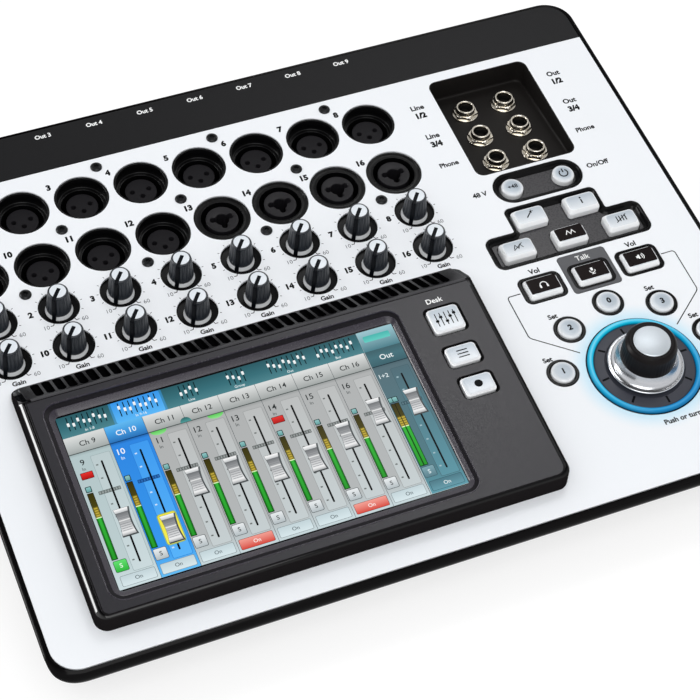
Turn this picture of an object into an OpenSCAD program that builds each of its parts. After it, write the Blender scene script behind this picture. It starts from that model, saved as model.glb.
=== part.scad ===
// Compact digital mixing console with a touch screen.
// Millimetres. X runs to the right, Y to the back and Z up. The desk is Z = 0.
// The sloping top is laid out on its own plane: x across from the middle,
// y up the slope from the front edge of the silver panel, z out of the panel.

/* [Case] */
// overall width
case_w = 360; // [350:1:380]
// overall depth on the desk
case_d = 282.5; // [275:0.5:300]
// radius of the four upright corners
corner_r = 14.5; // [12:0.5:18]
// height of the panel's front edge above the desk
front_h = 32.5; // [28:0.5:40]
// slope of the panel
tilt = 10; // [8:0.5:12]
// black rim beside the panel
rim_side = 2.57; // [2.2:0.01:3.5]
// black rim in front of the panel
rim_front = 3.3; // [2.5:0.1:4]
// black rim behind the panel
rim_back = 1.8; // [1.4:0.1:2.5]
// radius of the rounded front nose
nose_r = 4.25; // [3.5:0.05:5]
// radius of the rim's top edge at the sides
edge_r = 1; // [0.6:0.1:1.6]
// height of the upper case at the sides
band_h = 14; // [13:0.5:17]
// inward lean of the lower side walls
side_taper = 11; // [6:0.5:13]
// distance from the front to where the flat base starts
base_setback = 45; // [35:1:55]
// bevel between the base and the back
back_bevel = 5; // [3:0.5:8]
// wall thickness of both mouldings
wall = 2.5; // [2:0.1:3]
// floor thickness of the lower case
floor_t = 2.5; // [2:0.1:3.5]
// height of the feet
foot_h = 4; // [3:0.5:6]
// radius of the feet
foot_r = 9; // [7:0.5:12]

/* [Panel] */
// thickness of the silver overlay
panel_t = 1; // [0.8:0.1:1.4]
// thickness of the black deck under it
deck_t = 2.5; // [2.2:0.1:3]
// depth of the black band behind the silver part
band_d = 25.8; // [20:0.1:28]
// corner radius of the silver part
panel_r = 12; // [10:0.5:14]
// gap around pieces let into the panel
panel_gap = 0.25; // [0.2:0.05:0.35]

/* [Inputs] */
// first socket column from the left edge of the panel
in_left = 26.4; // [24:0.1:28]
// column pitch of sockets and gain knobs
in_pitch = 29.1; // [28.8:0.1:29.4]
// distance from the last socket column to the jack tray
in_to_tray = 37.4; // [36:0.1:40]
// front socket row from the back knob row
row_front_y = 25.5; // [25:0.1:27]
// pitch of the two socket rows
row_pitch = 32.7; // [31:0.1:33]
// back socket row from the back of the silver part
row_back = 21.14; // [20:0.02:23]
// radius of the hole for a microphone socket
xlr_hole_r = 12.96; // [12.8:0.02:13.1]
// radius of the hole for a combined socket
combo_hole_r = 13.46; // [13.3:0.02:13.6]
// wall of a socket shell
shell_wall = 0.9; // [0.7:0.1:1.2]
// depth of the contact face in a microphone socket
xlr_face_d = 6.5; // [6:0.1:8]
// depth of the contact face in a combined socket
combo_face_d = 1.2; // [1:0.1:2]
// radius of the plug shell's gap
plug_r = 10; // [9.7:0.1:10.4]
// radius of the round contact insert
insert_r = 7.6; // [7.2:0.1:7.9]
// depth of the plug gap under the contact face
plug_d = 16; // [14:0.5:18]
// depth of the input circuit board under the panel
in_board_d = 30; // [28:0.5:33]
// radius of a contact hole
pin_r = 1.3; // [1.1:0.05:1.5]
// radius of the jack hole in a combined socket
combo_jack_r = 3.25; // [3.18:0.01:3.4]

/* [Gain knobs] */
// front knob row from the back of the display housing
knob_row_y = 14.4; // [13.5:0.1:16]
// pitch of the two knob rows
knob_row_pitch = 22.4; // [21:0.1:23]
// radius of the black well round a knob
well_r = 9.55; // [9:0.05:10]
// depth of the well
well_d = 2.2; // [2:0.1:2.6]
// radius of the knob's light collar
collar_r = 7.2; // [6.8:0.1:7.6]
// thickness of the collar
collar_t = 1; // [0.8:0.1:1.2]
// radius of the knob at its foot
knob_foot_r = 5.7; // [5.2:0.1:6.2]
// radius of the knob at its top
knob_top_r = 4.5; // [4:0.1:5]
// height of the knob above the panel
knob_h = 12; // [10:0.5:14]
// pointer angle at the lowest gain
knob_zero = 232; // [225:1:245]
// radius of the potentiometer shaft
pot_shaft_r = 2.9; // [2.5:0.1:3.1]
// running clearance of shafts and stems
run_gap = 0.06; // [0.04:0.01:0.09]

/* [Jack tray] */
// width of the tray
tray_w = 53; // [50:0.5:56]
// front edge of the tray from the front of the panel
tray_y = 186.9; // [186:0.1:188]
// length of the tray up the slope
tray_l = 64.1; // [62:0.1:66]
// gap behind the tray to the back of the silver part
tray_back = 5.64; // [5:0.02:8]
// depth of the tray at its front
tray_front_d = 7.5; // [7:0.1:9]
// extra slope of the tray floor
tray_slope = 5.3; // [4:0.1:7]
// side wall of the tray
tray_wall = 1.2; // [1:0.1:1.4]
// corner radius of the tray
tray_r = 4.5; // [3:0.5:6]
// spacing of the two jack columns
jack_dx = 21.1; // [20:0.1:22]
// first jack row from the tray front
jack_y0 = 12.4; // [11.8:0.1:13]
// spacing of the jack rows
jack_dy = 18.6; // [18:0.1:19]
// radius of the plug hole in a jack
jack_bore_r = 3.2; // [3.18:0.01:3.3]
// radius of the jack's threaded sleeve
jack_sleeve_r = 4.2; // [4:0.1:4.5]
// height of the sleeve above the tray floor
jack_sleeve_h = 8; // [7:0.5:9]
// width of the jack nut across its flats
nut_af = 11; // [10.5:0.5:12]
// height of the nut
nut_h = 2.6; // [2:0.1:3]
// radius of the nut's flange
nut_flange_r = 6.5; // [6.3:0.1:7]

/* [Buttons] */
// centre of the control column from the right edge of the panel
ctrl_right = 60.86; // [60:0.02:62]
// height of the button tops above the panel
button_h = 3; // [2.5:0.1:3.5]
// travel of a button
button_travel = 1.2; // [0.8:0.1:1.2]
// gap between a button and its bezel
button_gap = 0.35; // [0.3:0.05:0.5]
// radius of a round user button
round_r = 5.6; // [5.2:0.1:5.8]
// outer radius of its ring
ring_r = 7.35; // [7.1:0.05:7.6]
// radius of the arc of user buttons about the dial
arc_r = 38; // [37.5:0.1:38.5]
// angle between user buttons on the arc
arc_step = 38.5; // [37.5:0.5:39.5]
// centre row of the phones, talk and monitor buttons
row_low_y = 115.8; // [115.5:0.1:116.2]
// their spacing
row_low_dx = 25.1; // [24.6:0.1:25.4]
// width of those buttons
key_low_w = 17; // [16:0.1:17.4]
// length of those buttons
key_low_l = 11.6; // [11:0.1:11.8]
// row of three buttons in the tee bezel
row_mid_y = 139.8; // [139.5:0.1:140.1]
// spacing of those three
row_mid_dx = 27; // [26.5:0.1:27.2]
// row of two buttons in the tee bezel
row_top_y = 156; // [155.8:0.1:156.6]
// spacing of those two
row_top_dx = 27; // [26:0.1:27.5]
// width of the tee bezel buttons
key_w = 16.3; // [15.6:0.1:16.6]
// length of the tee bezel buttons
key_l = 10.6; // [10:0.1:10.8]
// centre of the standby pill
pill_y = 175.7; // [175.6:0.1:175.9]
// spacing of the two standby buttons
pill_dx = 27; // [26:0.1:28]
// radius of the standby buttons
pill_key_r = 5.4; // [5:0.1:5.6]
// depth of the dished bezels
dish_d = 2.2; // [1.8:0.1:2.4]
// radius of a switch stem
stem_r = 1.6; // [1.4:0.1:1.8]

/* [Dial] */
// centre of the main dial from the front edge
dial_y = 60; // [59.8:0.1:60.4]
// radius of the hole for the dial
dial_hole_r = 26.9; // [26.7:0.05:27.1]
// outer radius of the glowing ring
glow_out_r = 26.3; // [26.1:0.1:26.4]
// inner radius of the glowing ring
glow_in_r = 23.3; // [23:0.1:23.6]
// radius of the chrome skirt
skirt_r = 17.5; // [16.5:0.1:18.5]
// height of the skirt's edge above the panel
skirt_h = 3; // [2.8:0.1:3.4]
// radius of the rubber grip at its foot
grip_foot_r = 12.6; // [12:0.1:13]
// radius of the rubber grip at its top
grip_top_r = 11.7; // [11:0.1:12]
// height of the rubber grip above the panel
grip_h = 19; // [17:0.5:21]
// radius of the metal cap
cap_r = 8.6; // [8:0.1:9.2]
// push travel of the dial
dial_travel = 0.6; // [0.4:0.1:0.8]
// radius of the dial's shaft
dial_shaft_r = 3; // [2.8:0.1:3.2]

/* [Display] */
// left edge of the display housing from the left of the panel
disp_left = 21; // [20:0.5:23]
// distance from the housing to the centre of the control column
disp_to_ctrl = 59; // [58:0.5:62]
// front edge of the housing from the front of the panel
disp_front = 12.7; // [11:0.1:13]
// width of the housing
disp_w = 214; // [210:0.5:216]
// length of the housing
disp_l = 127.8; // [126:0.1:129]
// corner radius of the housing
disp_r = 6; // [5:0.5:8]
// height of the housing at its front
disp_front_h = 9.5; // [9.3:0.1:10.5]
// extra slope of the housing's top
disp_slope = 1.3; // [1.1:0.1:2]
// length of the sloping rear with the vents
vent_l = 16.2; // [15:0.1:18]
// inward lean of the housing's sides at the top
disp_inset = 3; // [2:0.1:4]
// wall of the housing
disp_wall = 2.4; // [2:0.1:2.6]
// width of the picture
screen_w = 155.3; // [152:0.1:156]
// length of the picture
screen_l = 89; // [86:0.1:90]
// left edge of the picture from the left of the housing
screen_left = 14; // [13:0.1:15]
// right edge of the picture from the right of the housing
screen_right = 44.7; // [44:0.1:47]
// front edge of the picture from the front of the housing's top
screen_front = 11; // [10:0.1:12]
// back edge of the picture from the back of the housing's top
screen_back = 10.1; // [9:0.1:12]
// slope width of the frame round the picture
frame_w = 5; // [4:0.1:5.5]
// depth of the picture under the housing's top
screen_d = 2; // [1.6:0.1:2.2]
// thickness of the glass
glass_t = 1.2; // [1:0.1:1.5]
// thickness of the display module
lcd_t = 4.6; // [4:0.1:4.8]
// column of the display buttons from the housing's right edge
disp_key_x = 21; // [20:0.1:22]
// height of the display buttons over the housing
disp_key_h = 1.2; // [1:0.1:1.6]
// travel of the display buttons
disp_key_travel = 0.8; // [0.6:0.1:0.8]
// pitch of the vent slots
vent_pitch = 5.05; // [4.8:0.05:5.5]
// width of a vent slot
vent_w = 2.6; // [2.2:0.1:3]
// number of vent slots
vent_count = 39; // [30:1:39]

/* [Back] */
// pitch of the nine outputs
out_pitch = 25.64; // [25.4:0.02:25.9]
// first output from the left edge of the panel
out_left = 27.3; // [26:0.1:29]
// distance from the last output to the USB sockets
out_to_usb = 46.44; // [44:0.02:48]
// length of an output inside the back wall
out_l = 22; // [20:0.5:24]
// height of the outputs above the desk
out_z = 38; // [34:0.5:42]
// radius of an output's barrel
out_r = 11; // [10.6:0.1:11.3]
// radius of the space for the plug
out_cup_r = 9.5; // [9.3:0.1:9.8]
// depth of that space
out_cup_d = 14; // [12:0.5:16]
// thickness of the back plate
back_t = 2; // [1.5:0.1:2.5]
// width of the back plate's window
window_w = 324; // [318:1:330]
// length of the window up the back
window_l = 42; // [38:1:46]
// power inlet from the right edge of the panel
inlet_right = 42; // [38:1:46]
// USB sockets from the right edge of the panel
usb_right = 76; // [72:1:80]

/* [Hidden] */
$fn = 48;
e = 0.01;
seat = 0.3;
// least web between two holes
web = 0.2;
panel_w = case_w - 2 * rim_side;
panel_x = -panel_w / 2;
// the nose's foremost point is the front of the case
panel_y = -case_d / 2 + nose_r - (nose_r - rim_front) * cos(tilt) - nose_r * sin(tilt);
rear_y = (case_d / 2 - panel_y) / cos(tilt);
plate_l = rear_y - rim_back;
silver_l = plate_l - band_d;
deck_z = -panel_t;
under_z = -panel_t - deck_t;
flange_t = 1.2;
bezel_z = under_z - flange_t;
key_flange_t = 1.1;
key_under = bezel_z - seat - key_flange_t;
stem_end = key_under - 2.8;
switch_top = key_under - button_travel - 0.4;
board_z = stem_end - button_travel - 1.4;
board_t = 1.6;
shell_top = -0.3;
shell_flange_t = 2;
pot_top = -in_board_d + 14;
knob_under = -0.3;
disp_top_l = disp_l - vent_l;
disp_lip = 1.5;
disp_key_ys = [for (d = [17.8, 38.1, 55]) disp_top_l - disp_lip - d];
disp_key_ls = [15, 10.6, 10.6];
disp_key_w = 16.5;
disp_board_z = -8.2;
disp_board_right = 60;
disp_board_w = 54;
disp_board_l = 70;
disp_board_front = 21.1;
pot_w = 11;
pot_h = 8;
switch_w = 6;
ctrl_board_w = 83;
ctrl_board_back = 8.3;
in_board_front = 9;
glass_gap = 0.05;
post_in = 14.4;
post_r = 4;
boss_h = 14;
screw_r = 1.5;
torx_r = 2.8;
rear_in = case_d / 2 - wall;

// Every gap on the panel has a least size, and what it has beyond that is shared
// out anew when the case or a block on it changes, so the blocks never meet.
function gap(full, least, share) = least + (full - least) * share;

// across: display housing and control column
ctrl_half = arc_r * sin(2 * arc_step) + ring_r;
share_x = (panel_w - disp_w - 2 * ctrl_half) / (disp_left + disp_to_ctrl + ctrl_right - 2 * ctrl_half);
disp_x = panel_x + disp_left * share_x;
ctrl_x = panel_w / 2 - gap(ctrl_right, ctrl_half, share_x);

// across: input columns between the screw posts and the tray
board_over = 13;
col_left_least = post_in + post_r + 6;
col_pitch_least = 2 * combo_hole_r + web;
col_fixed = col_left_least + 7 * col_pitch_least + combo_hole_r + 1;
share_col = (ctrl_x - tray_w / 2 - panel_x - col_fixed) / (in_left + 7 * in_pitch + in_to_tray - col_fixed);
col_left = gap(in_left, col_left_least, share_col);
col_pitch = gap(in_pitch, col_pitch_least, share_col);
xlr_flange_r = min(xlr_hole_r + 1.2, col_pitch / 2 - web);
combo_flange_r = min(combo_hole_r + 0.8, col_pitch / 2 - web / 2);

// along: display housing, knob rows and socket rows, the last clear of the outputs on the back
knob_gap_least = well_r + seat;
knob_pitch_least = 2 * well_r + web;
sock_gap_least = well_r + combo_hole_r + seat;
sock_pitch_least = 2 * combo_hole_r + 1.8;
back_least = board_over - band_d - rim_back
    + (out_l + wall + 0.5 + (in_board_d + board_t) * sin(tilt)) / cos(tilt);
row_fixed = disp_l + knob_gap_least + knob_pitch_least + sock_gap_least + sock_pitch_least + back_least;
row_full = disp_front + disp_l + knob_row_y + knob_row_pitch + row_front_y + row_pitch + row_back;
share_row = (silver_l - row_fixed) / (row_full - row_fixed);
disp_y = disp_front * share_row;
knob_front = disp_y + disp_l + gap(knob_row_y, knob_gap_least, share_row);
knob_pitch = gap(knob_row_pitch, knob_pitch_least, share_row);
sock_front = knob_front + knob_pitch + gap(row_front_y, sock_gap_least, share_row);
sock_pitch = gap(row_pitch, sock_pitch_least, share_row);

// on the display: the picture between its margins
pic_side_least = [10, 40];
pic_front_least = frame_w + 2.5;
pic_back_least = frame_w + 1.5;
pic_x_fixed = pic_side_least[0] + pic_side_least[1];
pic_y_fixed = pic_front_least + pic_back_least;
share_pic_x = (disp_w - pic_x_fixed) / (screen_left + screen_w + screen_right - pic_x_fixed);
share_pic_y = (disp_top_l - disp_lip - pic_y_fixed) / (screen_front + screen_l + screen_back - pic_y_fixed);
pic_x = gap(screen_left, pic_side_least[0], share_pic_x);
pic_y = gap(screen_front, pic_front_least, share_pic_y);
pic_w = screen_w * share_pic_x;
pic_l = screen_l * share_pic_y;

// along: dial, keys, standby pill and jack tray
ctrl_board_front = 27;
dial_least = ctrl_board_front + 13;
pill_give = 0.8;
tray_back_least = -5;
ctrl_fixed = dial_least + tray_y + tray_l - dial_y - pill_give + tray_back_least;
share_ctrl = (silver_l - ctrl_fixed) / (tray_y + tray_l + tray_back - ctrl_fixed);
dial_v = gap(dial_y, dial_least, share_ctrl);
low_v = row_low_y + dial_v - dial_y;
mid_v = row_mid_y + dial_v - dial_y;
top_v = row_top_y + dial_v - dial_y;
pill_v = pill_y + dial_v - dial_y - pill_give * (1 - share_ctrl);
tray_v = tray_y + pill_v - pill_y;

// across the back: outputs, USB sockets and power inlet in their window
share_back = panel_w / (out_left + 8 * out_pitch + out_to_usb + usb_right);
usb_x = panel_w / 2 - usb_right * share_back;
inlet_x = panel_w / 2 - inlet_right * share_back;
window_x = 2 * out_r + (window_w - 2 * out_r) * share_back;
out_flange_w = min(24.6, out_pitch * share_back - 1);

function col_x(i) = panel_x + col_left + i * col_pitch;
function row_y(j) = sock_front + j * sock_pitch;
function knob_y(j) = knob_front + j * knob_pitch;
function out_x(i) = panel_x + (out_left + i * out_pitch) * share_back;
post_x = panel_w / 2 - post_in;
post_ys = [dial_v + 18, knob_y(1) + 0.7];
in_board_x = -post_x + post_r + 1;
foot_x = case_w / 2 - 40;
foot_ys = [-case_d / 2 + base_setback + 18.25, case_d / 2 - 23.25];

function on_arc(k) = [ctrl_x + arc_r * cos(90 + k * arc_step), dial_v + arc_r * sin(90 + k * arc_step)];
function round_to(a) = [cos(a), sin(a)];
function arc(c, r, a0, a1, n) = [for (i = [0 : n]) c + r * round_to(a0 + (a1 - a0) * i / n)];
// side view of a point on the panel plane
function side(y, z) = [panel_y + y * cos(tilt) - z * sin(tilt), front_h + y * sin(tilt) + z * cos(tilt)];
// height, at a depth on the desk, of the panel plane moved out by z
function plane_z(y, z) = front_h + (y - panel_y) * tan(tilt) + z / cos(tilt);
nose = side(nose_r - rim_front, -nose_r);
// screw holes beside the sockets
torx_ys = [(row_y(1) + silver_l) / 2 + 4.93, (row_y(0) + row_y(1)) / 2 + 0.45, knob_y(1) + 11.4];
torx = [for (j = [0 : 2]) for (i = [0 : 3])
    [col_x(2 * i + [12.1, -14.6, 16.9][j] / in_pitch), torx_ys[j]]];

module on_panel() {
    translate([0, panel_y, front_h]) rotate([tilt, 0, 0]) children();
}

module on_tray() {
    on_panel() translate([ctrl_x, tray_v, -tray_front_d]) rotate([-tray_slope, 0, 0]) children();
}

module on_display() {
    on_panel() translate([disp_x, disp_y + disp_lip, disp_front_h]) rotate([disp_slope, 0, 0]) children();
}

module rounded(w, l, r) {
    square([w - 2 * r, l], center = true);
    square([w, l - 2 * r], center = true);
    for (x = [-1, 1]) {
        for (y = [-1, 1]) {
            translate([x * (w / 2 - r), y * (l / 2 - r)]) circle(r);
        }
    }
}

module slab(z0, z1, w, l, r) {
    translate([0, 0, z0]) linear_extrude(z1 - z0) rounded(w, l, r);
}

module rod(z0, z1, r) {
    translate([0, 0, z0]) cylinder(h = z1 - z0, r = r);
}

module at(x, y) {
    translate([x, y, 0]) children();
}

// outline of the whole case: plan, side view and end view together
module case_block() {
    end_view = concat(
        [[case_w / 2, -band_h], [case_w / 2, -edge_r]],
        arc([case_w / 2 - edge_r, -edge_r], edge_r, 0, 90, 6),
        arc([-case_w / 2 + edge_r, -edge_r], edge_r, 90, 180, 6),
        [[-case_w / 2, -band_h], [-case_w / 2 + 80 * tan(side_taper), -band_h - 80],
        [case_w / 2 - 80 * tan(side_taper), -band_h - 80]]);
    side_view = concat(
        arc(nose, nose_r, 90 + tilt, 245, 12),
        [[-case_d / 2 + base_setback, foot_h], [case_d / 2 - back_bevel, foot_h],
        [case_d / 2, foot_h + back_bevel], side(rear_y, 0) - [0, 1], side(rear_y - 1, 0)]);
    intersection() {
        linear_extrude(140) rounded(case_w, case_d, corner_r);
        rotate([90, 0, 90]) linear_extrude(case_w + 2, center = true) polygon(side_view);
        on_panel() translate([0, case_d / 2, 0]) rotate([90, 0, 0])
            linear_extrude(case_d * 1.6, center = true) polygon(end_view);
    }
}

// the hollow inside the case
module case_hollow() {
    in_w = case_w - 2 * wall;
    end_view = [[in_w / 2, 1], [-in_w / 2, 1], [-in_w / 2, -band_h],
        [-in_w / 2 + 80 * tan(side_taper), -band_h - 80],
        [in_w / 2 - 80 * tan(side_taper), -band_h - 80], [in_w / 2, -band_h]];
    side_view = [side(nose_r - rim_front + 1, under_z), nose + [1, -0.5],
        [-case_d / 2 + base_setback + 1, foot_h + floor_t],
        [rear_in - back_bevel, foot_h + floor_t], [rear_in, foot_h + floor_t + back_bevel],
        [rear_in, plane_z(rear_in, under_z)]];
    intersection() {
        linear_extrude(140) rounded(in_w, case_d - 2 * wall, corner_r - wall);
        rotate([90, 0, 90]) linear_extrude(case_w, center = true) polygon(side_view);
        on_panel() translate([0, case_d / 2, 0]) rotate([90, 0, 0])
            linear_extrude(case_d * 1.6, center = true) polygon(end_view);
    }
}

// space above or below the joint between the two mouldings
module above_joint() {
    on_panel() translate([-case_w, -case_d, -band_h]) cube([2 * case_w, 3 * case_d, 120]);
}

module post_places() {
    for (s = [-1, 1]) {
        for (y = post_ys) {
            translate([s * post_x, side(y, 0)[0], side(y, 0)[1] - boss_h]) children();
        }
    }
}

// outlines of the pieces let into the control column
module pill_outline(g) {
    at(ctrl_x, pill_v) rounded(45.7 + 2 * g, 18.3 + 2 * g, 9.1 + g);
}

module tee_outline(g) {
    at(ctrl_x, mid_v + 0.6) rounded(80.8 + 2 * g, 19.2 + 2 * g, 4.5 + g);
    at(ctrl_x, top_v - 0.4) rounded(47.6 + 2 * g, 17.2 + 2 * g, 3 + g);
}

module key_ring_outline(g) {
    for (k = [-1, 1]) {
        at(ctrl_x + k * row_low_dx, low_v) rounded(21.2 + 2 * g, 15 + 2 * g, 3.5 + g);
    }
}

module talk_outline(g) {
    at(ctrl_x, low_v + 2.4) rounded(24.3 + 2 * g, 22 + 2 * g, 1.8 + g);
}

module user_ring_outline(g) {
    for (k = [-2 : 2]) {
        translate(on_arc(k)) circle(ring_r + g);
    }
}

module bezel_outlines(g) {
    pill_outline(g);
    tee_outline(g);
    key_ring_outline(g);
    talk_outline(g);
    user_ring_outline(g);
}

// rectangular and round button openings, bigger by g on every side
module key_holes(g) {
    for (k = [-1, 1]) {
        at(ctrl_x + k * pill_dx / 2, pill_v) circle(pill_key_r + g);
        at(ctrl_x + k * row_top_dx / 2, top_v) rounded(key_w + 2 * g, key_l + 2 * g, 1.5);
    }
    for (k = [-1 : 1]) {
        at(ctrl_x + k * row_mid_dx, mid_v) rounded(key_w + 2 * g, key_l + 2 * g, 1.5);
        at(ctrl_x + k * row_low_dx, low_v) rounded(key_low_w + 2 * g, key_low_l + 2 * g, 1.5);
    }
    for (k = [-2 : 2]) {
        translate(on_arc(k)) circle(round_r + g);
    }
}

module tray_outline(g) {
    at(ctrl_x, tray_v + tray_l / 2) rounded(tray_w + 2 * g, tray_l + 2 * g, tray_r + g);
}

// the tray's hollow, or the block round it
module tray_block(g, drop) {
    intersection() {
        on_panel() translate([0, 0, -40]) linear_extrude(40 + (g > 0 ? under_z + 0.5 : 2)) tray_outline(g);
        on_tray() translate([-60, -40, -drop]) cube([120, 160, 70]);
    }
}

module jack_places() {
    for (s = [-1, 1]) {
        for (k = [0 : 2]) {
            on_tray() translate([s * jack_dx / 2, jack_y0 + k * jack_dy, 0]) children();
        }
    }
}

module xlr_places() {
    for (i = [0 : 7]) {
        for (j = [0 : 1]) {
            if (j == 1 || i < 4) {
                on_panel() at(col_x(i), row_y(j)) children();
            }
        }
    }
}

module combo_places() {
    for (i = [4 : 7]) {
        on_panel() at(col_x(i), row_y(0)) children();
    }
}

module knob_places() {
    for (i = [0 : 7]) {
        for (j = [0 : 1]) {
            on_panel() at(col_x(i), knob_y(j)) children();
        }
    }
}

// shapes cut through the silver overlay and the deck
module panel_holes() {
    for (i = [0 : 7]) {
        at(col_x(i), row_y(1)) circle(xlr_hole_r);
        at(col_x(i), row_y(0)) circle(i < 4 ? xlr_hole_r : combo_hole_r);
    }
    bezel_outlines(panel_gap);
    at(ctrl_x, dial_v) circle(dial_hole_r);
}

// black upper moulding: rim, deck, knob wells, jack tray and back band
module upper_case() {
    color("#17181a") difference() {
        union() {
            difference() {
                intersection() {
                    case_block();
                    above_joint();
                }
                case_hollow();
            }
            tray_block(tray_wall, wall);
            post_places() intersection() {
                rod(0, 30, post_r);
                translate([0, 0, boss_h]) rotate([tilt, 0, 0])
                    translate([-9, -9, -30]) cube([18, 18, 30 + under_z + 0.5]);
            }
        }
        on_panel() translate([0, silver_l / 2, deck_z])
            linear_extrude(10) rounded(panel_w, silver_l, panel_r);
        on_panel() translate([0, silver_l / 2 + panel_r, deck_z])
            linear_extrude(10) square([panel_w, silver_l - 2 * panel_r], center = true);
        on_panel() translate([0, 0, under_z - 3]) linear_extrude(10) panel_holes();
        tray_block(0, 0);
        jack_places() rod(-20, 5, jack_sleeve_r + 0.15);
        knob_places() {
            rod(-well_d, 5, well_r);
            rod(under_z - 2, 5, pot_shaft_r + 0.4);
        }
        on_panel() for (p = torx) at(p[0], p[1]) rod(under_z - 2, 5, screw_r);
        post_places() rod(-1, 8.5, screw_r);
    }
}

// thin silver overlay laid on the deck
module silver_panel() {
    color("#e9ecf0") on_panel() difference() {
        translate([0, 0, -panel_t]) linear_extrude(panel_t) difference() {
            union() {
                translate([0, silver_l / 2]) rounded(panel_w - 0.4, silver_l - 0.4, panel_r - 0.2);
                translate([0, silver_l / 2 + panel_r])
                    square([panel_w - 0.4, silver_l - 0.4 - 2 * panel_r], center = true);
            }
            panel_holes();
            tray_outline(0);
            for (i = [0 : 7]) {
                for (j = [0 : 1]) {
                    at(col_x(i), knob_y(j)) circle(well_r);
                }
            }
            for (p = torx) at(p[0], p[1]) circle(screw_r + 0.2);
        }
    }
}

// black lower moulding: tapered sides, sloping front, floor and screw posts
module lower_case() {
    color("#131415") difference() {
        union() {
            difference() {
                difference() {
                    case_block();
                    above_joint();
                }
                case_hollow();
            }
            intersection() {
                case_block();
                post_places() rod(-70, 0, post_r);
            }
        }
        post_places() {
            rod(-90, -4, 2.9);
            rod(-10, 5, screw_r + 0.2);
        }
        translate([0, case_d / 2, out_z]) rotate([90, 0, 0]) slab(-5, 10, window_x, window_l, 4);
    }
}

// steel plate behind the window in the back wall
module rear_panel() {
    color("#1d1e20") difference() {
        translate([0, rear_in, out_z]) rotate([90, 0, 0]) slab(0, back_t, window_x + 5, window_l + 5, 4);
        output_places() rod(-5, 20, out_r + 0.2);
        at_back(inlet_x) rod(-5, 20, 8.2);
        for (s = [-1, 1]) {
            at_back(usb_x) translate([0, s * 9, 0]) slab(-5, 20, 14.4, 7.4, 0.8);
        }
    }
}

// a place on the back, looking forward from behind it
module at_back(x) {
    translate([x, rear_in, out_z]) rotate([90, 0, 0]) children();
}

module output_places() {
    for (i = [0 : 8]) {
        at_back(out_x(i)) children();
    }
}

module rubber_feet() {
    color("#1a1a1b") for (x = [-1, 1]) {
        for (y = foot_ys) {
            translate([x * foot_x, y, 0]) difference() {
                rod(0, foot_h, foot_r);
                rod(-1, 1, foot_r - 3);
            }
        }
    }
}

// black screws: those on the panel and those up from below
module case_screws() {
    color("#101112") {
        on_panel() for (p = torx) at(p[0], p[1]) {
            difference() {
                rotate_extrude() polygon([[0, 0], [torx_r, 0], [torx_r, 0.5], [torx_r - 0.9, 1.1], [0, 1.1]]);
                rod(0.4, 2, 1.1);
            }
            rod(-7, 0.1, screw_r - run_gap);
        }
        post_places() {
            rod(-6, -4, 2.7);
            rod(-5, 8, screw_r - run_gap);
        }
    }
}

// round shell of a microphone socket, hung under the deck by its flange
module xlr_shells() {
    color("#141415") xlr_places() difference() {
        union() {
            rod(-in_board_d, shell_top, xlr_hole_r - panel_gap);
            rod(under_z - shell_flange_t, under_z, xlr_flange_r);
        }
        rod(-xlr_face_d, 1, xlr_hole_r - panel_gap - shell_wall);
        rod(-xlr_face_d - plug_d, 1, plug_r);
    }
}

module contact_holes(r) {
    for (p = [[-4.1, 0.5], [4.1, 0.5], [0, -3]]) {
        translate([p[0], p[1], -12]) cylinder(h = 40, r = r);
    }
}

module xlr_inserts() {
    color("#38393d") xlr_places() translate([0, 0, -xlr_face_d]) difference() {
        rod(-plug_d, 0, insert_r);
        contact_holes(pin_r);
    }
}

// socket that takes either plug: shell and insert
module combo_sockets() {
    color("#232427") combo_places() {
        difference() {
            union() {
                rod(-in_board_d, -0.5, combo_hole_r - panel_gap);
                rod(under_z - shell_flange_t, under_z, combo_flange_r);
            }
            rod(-combo_face_d, 1, combo_hole_r - panel_gap - shell_wall);
            rod(-combo_face_d - plug_d, 1, plug_r);
        }
        difference() {
            rod(-combo_face_d - plug_d + 0.2, -combo_face_d, insert_r);
            rod(-combo_face_d - 13, 1, combo_jack_r);
            for (p = [[-4.2, 0.8], [4.2, 0.8], [0, -3.8]]) {
                translate([p[0], p[1], -combo_face_d - 12]) cylinder(h = 20, r = pin_r);
            }
        }
    }
}

// outputs on the back: barrel, inner flange and three contact pins
module rear_xlr_sockets() {
    color("#1b1c1e") output_places() {
        difference() {
            union() {
                rod(-wall, out_l, out_r);
                slab(back_t, back_t + 2, out_flange_w, 30, 2);
            }
            rod(-wall - 1, out_cup_d - wall, out_cup_r);
        }
        for (p = [[-3.8, 1], [3.8, 1], [0, -2.9]]) {
            translate([p[0], p[1], 0]) rod(1, out_cup_d - wall + 1, 1.2);
        }
    }
}

// power inlet and two USB sockets
module rear_ports() {
    color("#9da0a3") {
        at_back(inlet_x) difference() {
            union() {
                rod(-1, 18, 8);
                rod(back_t, back_t + 2, 10.5);
            }
            rod(-2, 11, 6.4);
        }
        at_back(inlet_x) rod(2, 12, 1.2);
        for (s = [-1, 1]) {
            at_back(usb_x) translate([0, s * 9, 0]) {
                difference() {
                    union() {
                        slab(-0.6, 15, 14, 7, 0.6);
                        slab(back_t, back_t + 1, 16, 9, 0.6);
                    }
                    slab(-2, 12, 12.4, 5.4, 0.3);
                }
                translate([-5, -2.4, 1]) cube([10, 0.9, 12]);
            }
        }
    }
}

// jacks: threaded sleeve with the body block under the tray
module phone_jacks() {
    color("#cfc9bb") jack_places() difference() {
        union() {
            rod(-wall - e, jack_sleeve_h, jack_sleeve_r);
            translate([-7, -7, -wall - 19]) cube([14, 14, 19]);
        }
        rod(-18, jack_sleeve_h + 1, jack_bore_r);
    }
}

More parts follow.
